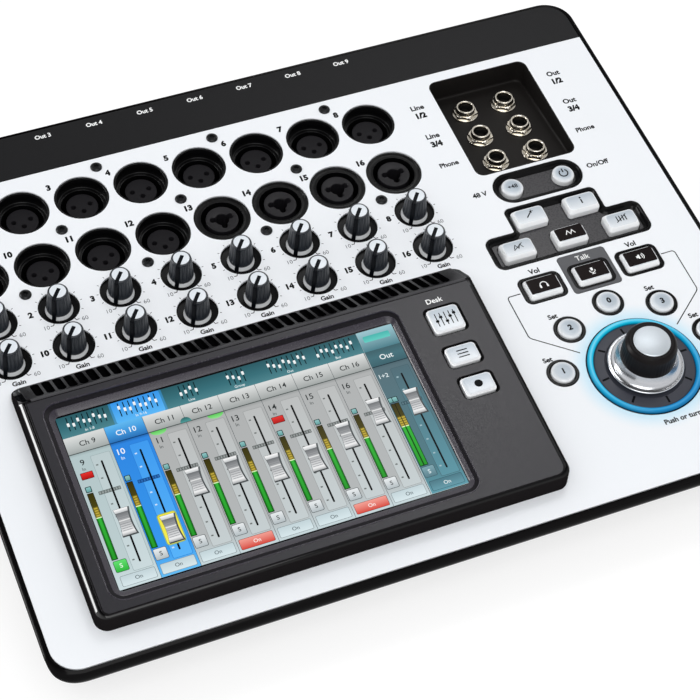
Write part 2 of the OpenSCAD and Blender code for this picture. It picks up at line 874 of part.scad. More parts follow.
module jack_nuts() {
    color("#d5d0c4") jack_places() difference() {
        union() {
            rod(0, 0.9, nut_flange_r);
            rotate([0, 0, 30]) cylinder(h = nut_h, r = nut_af / sqrt(3), $fn = 6);
        }
        rod(-1, 5, jack_sleeve_r + run_gap);
    }
}

module gain_pots() {
    color("#4a4d50") knob_places() difference() {
        union() {
            translate([-pot_w / 2, -pot_w / 2, -in_board_d]) cube([pot_w, pot_w, pot_h]);
            rod(-in_board_d + pot_h - 1, pot_top, pot_shaft_r + 1);
        }
        rod(-in_board_d + 1.5, 0, pot_shaft_r + run_gap);
    }
}

// a gain knob turned to its lowest setting, with the shaft it sits on
module gain_knob(i, j) {
    on_panel() at(col_x(i), knob_y(j)) {
        color("#2a2f36") difference() {
            rotate_extrude() polygon(concat(
                [[0, knob_under], [collar_r, knob_under], [collar_r, knob_under + collar_t],
                [knob_foot_r, knob_under + collar_t], [knob_top_r, knob_h - 0.7]],
                [[knob_top_r - 0.6, knob_h], [0, knob_h]]));
            rod(knob_under - 1, knob_h - 3, pot_shaft_r + run_gap);
            rotate([0, 0, knob_zero]) translate([0.8, -0.5, knob_h - 0.5]) cube([collar_r, 1, 2]);
            rotate([0, 0, knob_zero]) translate([knob_foot_r - 0.1, -0.9, -2]) cube([collar_r, 1.8, 4]);
        }
        color("#8d9196") rod(-in_board_d + 2, knob_h - 3.1, pot_shaft_r);
    }
}

// main circuit boards: under the inputs, under the controls and in the display
module circuit_boards() {
    color("#1f4a34") {
        on_panel() translate([in_board_x, knob_y(0) - in_board_front, -in_board_d - board_t])
            cube([col_x(7) + board_over - in_board_x,
                row_y(1) - knob_y(0) + in_board_front + board_over, board_t]);
        on_panel() translate([ctrl_x - ctrl_board_w / 2, dial_v - ctrl_board_front, board_z - board_t])
            cube([ctrl_board_w, pill_v - dial_v + ctrl_board_front + ctrl_board_back, board_t]);
        on_display() translate([disp_w - disp_board_right, disp_key_ys[2] - disp_board_front,
            disp_board_z - board_t]) cube([disp_board_w, disp_board_l, board_t]);
    }
}

// dark bezels let into the panel, each held by a flange under the deck
module button_bezels() {
    color("#26272a") on_panel() difference() {
        union() {
            translate([0, 0, bezel_z]) linear_extrude(0.3 - bezel_z) bezel_outlines(0);
            translate([0, 0, bezel_z]) linear_extrude(flange_t) {
                pill_outline(0.5);
                tee_outline(0.7);
                key_ring_outline(0.5);
                talk_outline(0.3);
                user_ring_outline(1);
            }
        }
        translate([0, 0, -dish_d]) linear_extrude(6) {
            pill_outline(-1.3);
            tee_outline(-1.4);
        }
        translate([0, 0, bezel_z - 1]) linear_extrude(12) key_holes(button_gap);
    }
}

// small switches on the boards, one under each button
module tact_switches() {
    color("#101010") {
        on_panel() for (p = key_centres()) translate(p) difference() {
            translate([-switch_w / 2, -switch_w / 2, board_z])
                cube([switch_w, switch_w, switch_top - board_z]);
            rod(board_z + 0.6, 0, stem_r + run_gap);
        }
        on_display() for (k = [0 : 2]) translate([disp_w - disp_key_x, disp_key_ys[k], 0]) difference() {
            translate([-switch_w / 2, -switch_w / 2, disp_board_z]) cube([switch_w, switch_w, 2.6]);
            rod(disp_board_z + 0.6, 0, stem_r + run_gap);
        }
    }
}

function key_centres() = concat(
    [for (k = [-1, 1]) [ctrl_x + k * pill_dx / 2, pill_v]],
    [for (k = [-1, 1]) [ctrl_x + k * row_top_dx / 2, top_v]],
    [for (k = [-1 : 1]) [ctrl_x + k * row_mid_dx, mid_v]],
    [for (k = [-1 : 1]) [ctrl_x + k * row_low_dx, low_v]],
    [for (k = [-2 : 2]) on_arc(k)]);

// a rectangular translucent key with its flange and stem
module key(x, y, w, l) {
    color("#dfe6ee") on_panel() at(x, y) {
        hull() {
            slab(0, 0.5, w, l, 1.5);
            slab(button_h - 0.3, button_h, w - 1.6, l - 2.6, 1.2);
        }
        slab(key_under, 0.2, w, l, 1.5);
        slab(key_under, key_under + key_flange_t, w + 1, l + 1, 1.5);
        rod(stem_end, key_under + e, stem_r);
    }
}

module round_key(x, y, r) {
    color("#e3e9ef") on_panel() at(x, y) {
        rotate_extrude() polygon(concat(
            [[0, stem_end], [stem_r, stem_end], [stem_r, key_under], [r + 0.6, key_under],
            [r + 0.6, key_under + key_flange_t], [r, key_under + key_flange_t], [r, button_h - 1.6]],
            arc([r - 0.9, button_h - 1.6], 0.9, 0, 90, 5), [[0, button_h - 1.1]]));
    }
}

module display_key(k) {
    color("#dfe6ee") on_display() translate([disp_w - disp_key_x, disp_key_ys[k], 0]) {
        slab(-disp_wall - 1.3, disp_key_h, disp_key_w, disp_key_ls[k], 1.5);
        slab(-disp_wall - 1.3, -disp_wall - seat, disp_key_w + 1, disp_key_ls[k] + 1, 1.5);
        rod(disp_board_z + 0.6 + disp_key_travel + 0.3, -disp_wall - 1, stem_r);
    }
}

// housing of the display: wedge with vented rear slope
module display_block(in) {
    top = [disp_top_l, disp_front_h + (disp_top_l - disp_lip) * tan(disp_slope)];
    rise = tan(disp_slope);
    skin = in * (1 - glass_gap / disp_wall) / cos(disp_slope);
    side_view = [[in, -e], [disp_lip + in, disp_front_h + in * rise - skin],
        [top[0] - in * 0.3, top[1] - in * 0.3 * rise - skin], [disp_l - in * 1.5, -e]];
    end_view = [[in, -e], [disp_inset + in, 16], [disp_w - disp_inset - in, 16], [disp_w - in, -e]];
    on_panel() translate([disp_x, disp_y, 0]) intersection() {
        translate([disp_w / 2, disp_l / 2, 0]) slab(-e, 20, disp_w - 2 * in, disp_l - 2 * in, disp_r - in);
        rotate([90, 0, 90]) linear_extrude(disp_w) polygon(side_view);
        translate([0, disp_l, 0]) rotate([90, 0, 0]) linear_extrude(disp_l) polygon(end_view);
    }
}

module display_housing() {
    color("#56575b") difference() {
        intersection() {
            display_block(0);
            on_panel() translate([-case_w, 0, 0]) cube([2 * case_w, 2 * case_d, 60]);
        }
        display_block(disp_wall);
        on_display() translate([pic_x + pic_w / 2, pic_y + pic_l / 2, 0]) hull() {
            slab(0.2, 0.4, pic_w + 2 * frame_w, pic_l + 2 * frame_w + 1, 6);
            slab(-screen_d - 0.5, -screen_d - 0.4, pic_w, pic_l, 2);
        }
        on_display() for (k = [0 : 2]) translate([disp_w - disp_key_x, disp_key_ys[k], 0]) {
            slab(-8, 5, disp_key_w + 2 * button_gap, disp_key_ls[k] + 2 * button_gap, 1.6);
        }
        on_panel() for (k = [0 : vent_count - 1]) {
            translate([disp_x + disp_w / 2 + (k - (vent_count - 1) / 2) * vent_pitch - vent_w / 2,
                disp_y + disp_l - 10.5, 1.2]) cube([vent_w, 8, 12]);
        }
    }
}

module display_glass() {
    color("#0c0d10") on_display()
        translate([pic_x + pic_w / 2, pic_y + pic_l / 2, 0])
        slab(-disp_wall - glass_t, -disp_wall, pic_w + 7, pic_l + 7, 2);
}

module lcd_module() {
    color("#6f7478") on_display() translate([pic_x - 3, pic_y - 3, 0])
        translate([0, 0, -disp_wall - glass_t - lcd_t]) cube([pic_w + 6, pic_l + 6, lcd_t]);
}

module encoder_light_ring() {
    color("#1fb8f0") on_panel() at(ctrl_x, dial_v) rotate_extrude() polygon(concat(
        [[glow_in_r, under_z], [glow_out_r, under_z]],
        arc([(glow_in_r + glow_out_r) / 2, 0], (glow_out_r - glow_in_r) / 2, 0, 180, 12)));
}

module encoder_dial() {
    color("#2c2e33") on_panel() at(ctrl_x, dial_v) difference() {
        union() {
            rod(bezel_z, 0.4, glow_in_r - 0.2);
            rod(bezel_z, under_z, dial_hole_r + 0.5);
            for (a = [30, 150, 270]) {
                rotate([0, 0, a]) translate([22, 0, 0]) rod(board_z, bezel_z + e, 2.5);
            }
        }
        rod(bezel_z - 1, 5, dial_shaft_r + 2.2);
    }
}

module encoder_body() {
    color("#3a3c3f") on_panel() at(ctrl_x, dial_v) difference() {
        union() {
            translate([-8, -8, board_z]) cube([16, 16, bezel_z - 0.4 - board_z]);
            rod(board_z, 0.2, dial_shaft_r + 1.8);
        }
        rod(board_z + 0.5, 5, dial_shaft_r + run_gap);
    }
}

// push shaft of the main dial
module encoder_shaft() {
    color("#9a9da0") on_panel() at(ctrl_x, dial_v)
        rod(board_z + 0.5 + dial_travel + seat, grip_h - 4, dial_shaft_r);
}

module encoder_skirt() {
    flare = skirt_r - grip_foot_r - 0.3;
    color("#c9ccd0") on_panel() at(ctrl_x, dial_v) rotate_extrude() polygon(concat(
        [[9, skirt_h - 0.8], [skirt_r, skirt_h - 0.8], [skirt_r, skirt_h]],
        [for (t = [0.1 : 0.1 : 1]) [skirt_r - flare * pow(t, 0.6), skirt_h + 5 * t * t]],
        [[9, skirt_h + 5]]));
}

// rubber grip with the metal cap let into its top
module encoder_grip() {
    on_panel() at(ctrl_x, dial_v) {
        color("#1c1d1f") difference() {
            rotate_extrude() polygon(concat(
                [[0, skirt_h - 0.6], [8.9, skirt_h - 0.6], [8.9, skirt_h + 5], [grip_foot_r, skirt_h + 5]],
                [[grip_top_r, grip_h - 1.2]], arc([grip_top_r - 1.2, grip_h - 1.2], 1.2, 10, 90, 5),
                [[0, grip_h]]));
            rod(0, grip_h - 3.5, dial_shaft_r + run_gap);
            rod(grip_h - 1.4, grip_h + 1, cap_r + 0.1);
        }
        color("#d9dcdf") rotate_extrude() polygon(concat(
            [[0, grip_h - 1.35], [cap_r, grip_h - 1.35], [cap_r, grip_h]],
            [for (t = [0.9 : -0.15 : 0]) [cap_r * t, grip_h + 1.1 * (1 - t * t)]]));
    }
}

upper_case();
silver_panel();
lower_case();
rear_panel();
rubber_feet();
case_screws();
display_housing();
display_glass();
lcd_module();
xlr_shells();
xlr_inserts();
combo_sockets();
rear_xlr_sockets();
rear_ports();
phone_jacks();
jack_nuts();
gain_pots();
circuit_boards();
button_bezels();
tact_switches();
encoder_light_ring();
encoder_dial();
encoder_body();
encoder_shaft();
encoder_skirt();
encoder_grip();
display_key(0);  // home_button
display_key(1);  // menu_button
display_key(2);  // record_button
round_key(ctrl_x - pill_dx / 2, pill_v, pill_key_r);  // phantom_button
round_key(ctrl_x + pill_dx / 2, pill_v, pill_key_r);  // standby_button
key(ctrl_x - row_top_dx / 2, top_v, key_w, key_l);  // assist_button
key(ctrl_x + row_top_dx / 2, top_v, key_w, key_l);  // info_button
key(ctrl_x - row_mid_dx, mid_v, key_w, key_l);  // effect_mute_button
key(ctrl_x, mid_v, key_w, key_l);  // effect_select_button
key(ctrl_x + row_mid_dx, mid_v, key_w, key_l);  // mute_group_button
key(ctrl_x - row_low_dx, low_v, key_low_w, key_low_l);  // phones_button
key(ctrl_x, low_v, key_low_w, key_low_l);  // talk_button
key(ctrl_x + row_low_dx, low_v, key_low_w, key_low_l);  // monitor_button
round_key(on_arc(0)[0], on_arc(0)[1], round_r);  // reset_button
round_key(on_arc(2)[0], on_arc(2)[1], round_r);  // user_button_1
round_key(on_arc(1)[0], on_arc(1)[1], round_r);  // user_button_2
round_key(on_arc(-1)[0], on_arc(-1)[1], round_r);  // user_button_3
round_key(on_arc(-2)[0], on_arc(-2)[1], round_r);  // user_button_4
gain_knob(0, 1);  // gain_knob_01
gain_knob(1, 1);  // gain_knob_02
gain_knob(2, 1);  // gain_knob_03
gain_knob(3, 1);  // gain_knob_04
gain_knob(4, 1);  // gain_knob_05
gain_knob(5, 1);  // gain_knob_06
gain_knob(6, 1);  // gain_knob_07
gain_knob(7, 1);  // gain_knob_08
gain_knob(0, 0);  // gain_knob_09
gain_knob(1, 0);  // gain_knob_10
gain_knob(2, 0);  // gain_knob_11
gain_knob(3, 0);  // gain_knob_12
gain_knob(4, 0);  // gain_knob_13
gain_knob(5, 0);  // gain_knob_14
gain_knob(6, 0);  // gain_knob_15
gain_knob(7, 0);  // gain_knob_16
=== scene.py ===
import bpy
import numpy as np
from mathutils import Matrix, Vector
from mathutils.geometry import delaunay_2d_cdt


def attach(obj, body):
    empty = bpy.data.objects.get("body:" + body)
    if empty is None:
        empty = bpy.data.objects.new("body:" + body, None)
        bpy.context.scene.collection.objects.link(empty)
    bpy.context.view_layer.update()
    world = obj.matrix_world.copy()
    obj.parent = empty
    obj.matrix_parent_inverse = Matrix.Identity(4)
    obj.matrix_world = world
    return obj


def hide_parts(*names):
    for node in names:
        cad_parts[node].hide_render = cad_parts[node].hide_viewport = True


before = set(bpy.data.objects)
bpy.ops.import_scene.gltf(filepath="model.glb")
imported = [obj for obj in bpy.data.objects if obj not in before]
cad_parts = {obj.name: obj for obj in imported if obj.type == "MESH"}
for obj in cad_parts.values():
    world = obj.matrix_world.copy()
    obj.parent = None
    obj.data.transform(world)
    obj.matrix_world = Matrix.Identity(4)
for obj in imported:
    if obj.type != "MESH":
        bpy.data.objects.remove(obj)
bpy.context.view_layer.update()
scene = bpy.context.scene


# Lower case: the black tub that stands on the desk, with leaning sides and a sloping front.
# It is moulded in ABS from a spark-eroded tool and screwed up into the top moulding,
# so its skin has an even, fine pebble that breaks up reflections.
def linear(code):
    """An sRGB hex colour as linear RGBA: each channel follows the sRGB curve."""
    srgb = np.array([int(code[k:k + 2], 16) for k in (1, 3, 5)]) / 255
    return np.append(np.where(srgb > 0.04045, ((srgb + 0.055) / 1.055) ** 2.4, srgb / 12.92), 1.0)


def add_node(tree, kind, settings=(), links=()):
    """One shader node: settings go to its properties or sockets, links join earlier outputs to its
    sockets."""
    node = tree.nodes.new("ShaderNode" + kind)
    for key, value in dict(settings).items():
        if isinstance(key, str) and hasattr(node, key):
            setattr(node, key, value)
        else:
            node.inputs[key].default_value = value
    for key, socket in dict(links).items():
        tree.links.new(socket, node.inputs[key])
    return node


def finish(name, colour, roughness, grain, depth, drift=0.06, shine=0.5, metal=0.0, coat=0.0):
    """A surface of one colour. Noise with features of the grain's size in mm gives bumps of that depth in
    mm and makes the gloss uneven by a tenth; noise of 35 mm patches moves the colour by the drift."""
    material = bpy.data.materials.new(name)
    material.use_nodes = True
    tree = material.node_tree
    place = {"Vector": add_node(tree, "TexCoord").outputs["Object"]}
    pebble = add_node(tree, "TexNoise", {"Scale": 1000 / grain, "Detail": 2.0}, place).outputs["Fac"]
    patches = add_node(tree, "TexNoise", {"Scale": 1000 / 35, "Detail": 3.0}, place).outputs["Fac"]
    gloss = add_node(tree, "MapRange", {"From Min": 0.3, "From Max": 0.7, "To Min": 0.9 * roughness,
                                        "To Max": 1.1 * roughness}, {"Value": pebble})
    dark, pale = (np.clip(linear(colour) * (1 + side * drift), 0, 1) for side in (-1, 1))
    tint = add_node(tree, "Mix", {"data_type": "RGBA", 6: dark, 7: pale}, {0: patches})
    bump = add_node(tree, "Bump", {"Distance": depth / 1000}, {"Height": pebble})
    sockets = tree.nodes["Principled BSDF"].inputs
    for key, value in (("Specular IOR Level", shine), ("Metallic", metal), ("Coat Weight", coat)):
        sockets[key].default_value = value
    for key, output in (("Base Color", tint.outputs[2]), ("Roughness", gloss.outputs[0]),
                        ("Normal", bump.outputs[0])):
        tree.links.new(output, sockets[key])
    return material


def dress(node, material):
    """A CAD solid keeps its shape and takes the material in all its slots."""
    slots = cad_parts[node].data.materials
    slots.clear()
    slots.append(material)


# spark-textured ABS: near black, half dull; the pebble is drawn 1.2 mm wide so that it still shows
tub_abs = finish("spark_textured_black_ABS", "#202023", 0.6, 1.2, 0.05, 0.12, shine=0.0)


def drawn_tub():
    """The solid's own points drawn in towards the middle: by a fiftieth at the front, nothing at the back,
    and from nothing at the floor to all of it 12 mm above, so that the rim overhangs the walls."""
    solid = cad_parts["lower_case"]
    mesh = solid.data.copy()
    mesh.transform(solid.matrix_world)
    points = np.empty(3 * len(mesh.vertices), np.float32)
    mesh.vertices.foreach_get("co", points)
    points = points.reshape(-1, 3)
    back_edge, depth, floor_top, rise = 0.141, 0.268, 0.0065, 0.012
    ahead = np.clip((back_edge - points[:, 1]) / depth, 0, 1)
    points[:, 0] *= 1 - 0.02 * ahead * np.clip((points[:, 2] - floor_top) / rise, 0, 1)
    mesh.vertices.foreach_set("co", points.ravel())
    mesh.materials.clear()
    mesh.materials.append(tub_abs)
    return mesh


tub = bpy.data.objects.new("case_tub", drawn_tub())
scene.collection.objects.link(tub)
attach(tub, "console")
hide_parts("lower_case")


# Rubber feet: four round pads pressed into the floor of the tub, hollow underneath so that they grip.
# Moulded from EPDM, they are dull and slightly dusty.
dress("rubber_feet", finish("moulded_EPDM_rubber", "#1c1c1d", 0.85, 1.5, 0.05, 0.12, shine=0.2))


# Back plate: a sheet of steel behind the window in the tub's back wall, punched for the sockets.
# It is powder-coated black, which leaves a fine orange peel.
dress("rear_panel", finish("black_powder_coat", "#1a1b1d", 0.42, 0.9, 0.04))


# Back sockets: nine output barrels of glass-filled nylon, bolted to the plate from inside.
# Each has three turned pins, which are flashed with gold.
dress("rear_xlr_sockets", finish("glass_filled_nylon", "#17181a", 0.48, 1.0, 0.02))


def loft(rings, bottom=False, top=False):
    """Rows of equal count joined by quads. Rows run anticlockwise, upwards round an outside and downwards
    in a hollow. An end is closed by a last row drawn in to 90 % about its middle, and one flat face inside
    it."""
    ends = [(side, ring) for side, ring in ((0, rings[0]), (1, rings[-1])) if (bottom, top)[side]]
    for side, ring in ends:
        inner = ring.mean(0) + 0.9 * (ring - ring.mean(0))
        rings = np.concatenate([rings, inner[None]] if side else [inner[None], rings])
    rows, count = rings.shape[:2]
    here = np.arange((rows - 1) * count).reshape(rows - 1, count)
    ahead = np.roll(here, -1, 1)
    groups = [np.stack([here, ahead, ahead + count, here + count], -1).reshape(-1, 4)]
    if bottom:
        groups.append(np.arange(count)[::-1][None])
    if top:
        groups.append(np.arange((rows - 1) * count, rows * count)[None])
    return rings.reshape(-1, 3), groups


def round_angles(count):
    """Equal steps once round, in radians."""
    return np.arange(count) * 2 * np.pi / count


def turned(centre, profile, count=64, lobes=0.0):
    """A profile of radius and height spun about an upright axis; lobes are added to the radius, row by
    angle."""
    angle = round_angles(count)
    radius, height = np.asarray(profile, float).T[:, :, None]
    radius = radius + lobes + 0 * angle
    return np.stack([centre[0] + radius * np.cos(angle), centre[1] + radius * np.sin(angle),
                     height + 0 * radius], -1)


def add_piece(name, parts, node=None, place=None, body="console", crisp=38):
    """One mesh object from (material, shell) parts: the shells are joined, moved to their place in metres,
    which is the sloping panel unless another is given, and shaded smooth, but for edges that turn by more
    than the crisp angle."""
    starts = np.cumsum([0] + [len(points) for _, (points, _) in parts])
    faces = [face for start, (_, (_, groups)) in zip(starts, parts)
             for group in groups for face in (group + start).tolist()]
    points = np.concatenate([points for _, (points, _) in parts])
    mesh = bpy.data.meshes.new(name)
    mesh.from_pydata((place or on_panel)(points).tolist(), [], faces)
    finishes = list(dict.fromkeys(material for material, _ in parts))
    for material in finishes:
        mesh.materials.append(material)
    marks = [finishes.index(material) for material, (_, groups) in parts for group in groups for _ in group]
    mesh.polygons.foreach_set("material_index", np.array(marks, np.int32))
    mesh.shade_smooth()
    mesh.set_sharp_from_angle(angle=np.radians(crisp))
    piece = bpy.data.objects.new(name, mesh)
    scene.collection.objects.link(piece)
    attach(piece, body)
    if node:
        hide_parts(node)
    return piece


def behind(points):
    """A place on the back: x to the right, y up from the sockets' line, z forward from the back plate's
    face."""
    plate_face, socket_line = 138.75, 38
    x, y, z = np.moveaxis(points, -1, 0)
    return np.stack([x, plate_face - z, socket_line + y], -1) / 1000


panel_left = -177.43
output_x = panel_left + 27.3 + 25.64 * np.arange(9)
# gold flash over nickel: warm, bright and a little worn
pin_gold = finish("gold_flashed_pins", "#c9a24c", 0.24, 1.5, 0.002, 0.08, metal=1.0)
pin = [(0.4, 0.95), (0.9, 1.05), (1.22, 1.5), (1.24, 12.4)]
add_piece("output_pins", [(pin_gold, loft(turned((x + dx, dy), pin, 20), bottom=True))
                          for x in output_x for dx, dy in ((-3.8, 1), (3.8, 1), (0, -2.9))], place=behind)


# Circuit boards, switches, potentiometers and the parts of the dial and display that sit inside the case.
# They hardly show, but they keep the colours of the real parts: solder mask, tin, phenolic and glass.
for node, *look in (("circuit_boards", "green_solder_mask", "#1f4a34", 0.35, 3.0, 0.01, 0.15),
                    ("tact_switches", "black_phenolic", "#111112", 0.5, 1.0, 0.01)):
    dress(node, finish(*look))
for node, *look in (("gain_pots", "tinned_steel_can", "#8a8d90", 0.4, 1.5, 0.005, 0.08),
                    ("encoder_body", "zinc_die_casting", "#7b7e82", 0.45, 1.2, 0.01, 0.08),
                    ("encoder_shaft", "turned_steel", "#9a9da0", 0.3, 0.6, 0.004, 0.05),
                    ("lcd_module", "pressed_steel_frame", "#8f9498", 0.38, 1.5, 0.004, 0.06)):
    dress(node, finish(*look, metal=1.0))


# Top moulding: rim, deck, knob wells and back band in one piece of black ABS, polished along the rim.
# The front rolls over into a round nose and the sides stand 14 mm high down to the joint with the tub.
slope, front_edge, rim_foot, dull_rows = np.radians(10), (0, -138.6736, 32.5), -14, 8
panel_width, plate_length, silver_length = 354.86, 282.44, 256.64


def tilted(points, origin, lean):
    """Points turned by the lean about the x axis, then moved by the origin."""
    x, y, z = np.moveaxis(np.asarray(points, float), -1, 0)
    cosine, sine = np.cos(lean), np.sin(lean)
    return np.stack([x, y * cosine - z * sine, y * sine + z * cosine], -1) + origin


def on_panel(points):
    """The sloping top: x across from its middle, y up the slope, z out of it, turned about the front
    edge."""
    return tilted(points, front_edge, slope) / 1000


def traced(corners, radii, per=8):
    """A closed outline, anticlockwise through the corners, each one rounded by its own radius: an arc about
    the point that lies that radius inside both edges. Gives the points and their outward normals."""
    corners = np.asarray(corners, float)
    before = corners - np.roll(corners, 1, 0)
    before /= np.linalg.norm(before, axis=1, keepdims=True)
    after = np.roll(before, -1, 0)
    turn = np.arctan2(before[:, 0] * after[:, 1] - before[:, 1] * after[:, 0], (before * after).sum(1))
    radii = np.broadcast_to(np.asarray(radii, float), len(corners))
    side = np.sign(turn)
    left = np.stack([-before[:, 1], before[:, 0]], -1)
    middle = corners - before * (radii * np.tan(abs(turn) / 2))[:, None] + left * (radii * side)[:, None]
    start = np.arctan2(-left[:, 1] * side, -left[:, 0] * side)
    angle = start[:, None] + turn[:, None] * np.linspace(0, 1, per + 1)
    spoke = np.stack([np.cos(angle), np.sin(angle)], -1)
    points = middle[:, None] + radii[:, None, None] * spoke
    return points.reshape(-1, 2), (spoke * side[:, None, None]).reshape(-1, 2)


def box_corners(x, y, width, length):
    """Corners of an upright rectangle about a middle, anticlockwise from the front right."""
    return [(x + width / 2, y - length / 2), (x + width / 2, y + length / 2),
            (x - width / 2, y + length / 2), (x - width / 2, y - length / 2)]


def box(x, y, width, length, radii, per=8):
    """The traced outline of an upright rectangle with rounded corners."""
    return traced(box_corners(x, y, width, length), radii, per)


def raised(flat, heights):
    """Rows of flat points, each row at its own height."""
    return np.concatenate([flat, np.broadcast_to(heights[:, None, None], (*flat.shape[:2], 1))], -1)


def eased(points, cut, steps=4):
    """An open profile whose inner corners become quadratic curves that leave each side the cut's length
    away."""
    points = np.asarray(points, float)
    corner = points[1:-1]
    cut = np.broadcast_to(np.asarray(cut, float), len(corner))[:, None]
    back, ahead = points[:-2] - corner, points[2:] - corner
    first, last = (corner + way / np.linalg.norm(way, axis=1, keepdims=True) * cut for way in (back, ahead))
    s = np.linspace(0, 1, steps + 1)[:, None]
    curve = first[:, None] * (1 - s) ** 2 + 2 * corner[:, None] * s * (1 - s) + last[:, None] * s ** 2
    return np.concatenate([points[:1], curve.reshape(-1, points.shape[1]), points[-1:]])


def carried(outline, profile, cut=None, steps=4):
    """An outline carried along a profile, which is eased if a cut is given: each row is the outline grown
    along its normals, at its own height."""
    points, normals = outline
    profile = np.asarray(profile, float) if cut is None else eased(profile, cut, steps)
    return raised(points + profile[:, :1, None] * normals, profile[:, 1])


def case_rim():
    """The rim's section swept round the panel's edge. Sections are (distance out, height): a nose at the
    front, a rounded edge and upright wall elsewhere. They blend by the squares of the normal's parts, six
    times as fast in the undercut below the nose, and the nose stands 2 mm further out at the front corners.
    The wall leans with the slope's tangent so that it stands upright on the desk, and is drawn in at its
    foot as the tub is."""
    points, normals = box(0, plate_length / 2, panel_width, plate_length, 12, 24)
    nose_radius, nose_in = 4.25, 0.95
    arc = np.radians(np.linspace(106.4, 240, 13))[:, None]
    nose = np.concatenate([np.cos(arc) * nose_radius + nose_in, np.sin(arc) * nose_radius - nose_radius], 1)
    chin = nose[-1] + (np.array([7.19, rim_foot]) - nose[-1]) * np.linspace(0.17, 1, 6)[:, None]
    nose = np.concatenate([[(-0.25, -1.2), (-0.25, -0.4)], nose, chin, [(12, rim_foot)]])
    nose = np.stack([-nose[:, 0] + nose[:, 1] * np.tan(slope), nose[:, 1]], -1)
    quarter = np.radians(np.linspace(90, 0, 13))[:, None]

    def wall(out, radius):
        """An upright wall's section: a quarter round, a drop and a flange that turns in at the foot."""
        edge = np.concatenate([out - radius + radius * np.cos(quarter), radius * np.sin(quarter) - radius], 1)
        drop = np.stack([np.full(5, out), np.linspace(-3.5, -13.7, 5)], -1)
        flange = [(out - 0.3, rim_foot), (-4, rim_foot)]
        return np.concatenate([[(0.25, -1.2), (0.25, -0.1)], edge, drop, flange])

    front, back = (np.maximum(side * normals[:, 1], 0)[:, None] ** 2 for side in (-1, 1))
    row = np.arange(len(nose))
    undercut = np.clip((row - 14) / 3, 0, 1)
    bulge = np.clip((row - 4) / 8, 0, 1) * np.clip((18 - row) / 4, 0, 1)
    ahead = (front + undercut * (np.minimum(6 * front, 1) - front))[..., None]
    back = back[..., None]
    section = ahead * nose + back * wall(1.8, 1.1) + (1 - ahead - back) * wall(2.57, 1.2)
    section[..., 0] += 2.0 * 4 * front * (1 - front) * bulge
    out, height = section.transpose(2, 1, 0)[:, ::-1]
    flat = points + out[..., None] * normals
    drawn_in = 3.6 * np.clip((-3 - height) / 10, 0, 1) * (1 - points[:, 1] / plate_length)
    flat[..., 0] -= np.sign(points[:, 0]) * drawn_in
    flat[..., 1] += height * np.tan(slope)
    return np.concatenate([flat, height[..., None]], -1)


# polished ABS: deep black, with sharp reflections softened by faint ripple
rim_black = finish("polished_black_ABS", "#070607", 0.14, 4.0, 0.003, shine=0.07)
# the upright sides below the rim are left dull from the tool
side_black = finish("dull_black_ABS", "#1c1a1b", 0.5, 1.2, 0.03, 0.12, shine=0.0)
rim_rows = case_rim()
add_piece("case_rim", [(side_black, loft(rim_rows[:dull_rows + 1])), (rim_black, loft(rim_rows[dull_rows:]))],
          "upper_case")

# silk-screened band behind the silver sheet: near black, satin
band_grey = finish("satin_black_band_paint", "#141416", 0.34, 1.0, 0.006, shine=0.2)
band = box(0, (silver_length + plate_length) / 2, panel_width - 0.5, plate_length - silver_length - 0.4,
           [0.4, 11.8, 11.8, 0.4])
add_piece("back_band", [(band_grey, loft(carried(band, [(0, -1.2), (0, 0), (-0.3, 0)], 0.15), top=True))])

column_x = panel_left + 26.4 + 29.1 * np.arange(8)
knob_rows, socket_rows = (177.3, 154.9), (235.5, 202.8)
# the deck in the wells: black ABS as it comes from the tool
deck_black = finish("satin_black_ABS", "#080809", 0.3, 1.2, 0.006, shine=0.12)
well = eased([(9.55, -0.02), (9.55, -2.2), (3.3, -2.2), (3.3, -6)], [0.5, 0.2])
knob_places = [(x, y) for y in knob_rows for x in column_x]
add_piece("knob_wells", [(deck_black, loft(turned(place, well), top=True)) for place in knob_places])


# Jack tray: a sunk box in the same black moulding at the back right, its floor sloping 5.3 degrees more
# steeply than the panel, so that plugs stand upright. Its edges are broken by small radii.
control_x, tray_front, tray_depth, tray_lean = 116.57, 186.9, 7.5, np.radians(5.3)


def jack_tray():
    """The tray's outline carried down from the panel, the lower rows following the floor's own slope."""
    outline = box(control_x, tray_front + 32.05, 53, 64.1, 4.5, 10)
    lip = carried(outline, [(0.0, -0.6), (0.0, 0.0), (-0.5, 0.0), (-0.5, -2.0)], [0.05, 0.3])
    foot = carried(outline, [(-0.6, 3.0), (-0.6, 0.0), (-4.0, 0.0)], 1.6, 6)
    foot[..., 2] -= tray_depth + (foot[..., 1] - tray_front) * np.tan(tray_lean)
    return loft(np.concatenate([lip, foot]), top=True)


tray_black = finish("dull_black_tray", "#1b1918", 0.45, 1.0, 0.01, shine=0.12)
add_piece("jack_tray", [(tray_black, jack_tray())])


# Silver panel: a 1 mm aluminium sheet bonded to the deck, spray-painted in a pale satin silver.
# The paint has a fine metallic fleck and reads almost white under studio light.
panel_silver = finish("satin_silver_paint", "#e9ecf0", 0.42, 0.8, 0.004, 0.012, shine=0.35)
dial = control_x, 60.0


def tinted(material, share, colour):
    """The material's own colour gives way to another by the share that a node puts out."""
    tree = material.node_tree
    base = tree.nodes["Principled BSDF"].inputs["Base Color"]
    own = base.links[0].from_socket
    blend = add_node(tree, "Mix", {"data_type": "RGBA", 7: linear(colour)}, {0: share, 6: own})
    tree.links.new(blend.outputs[2], base)


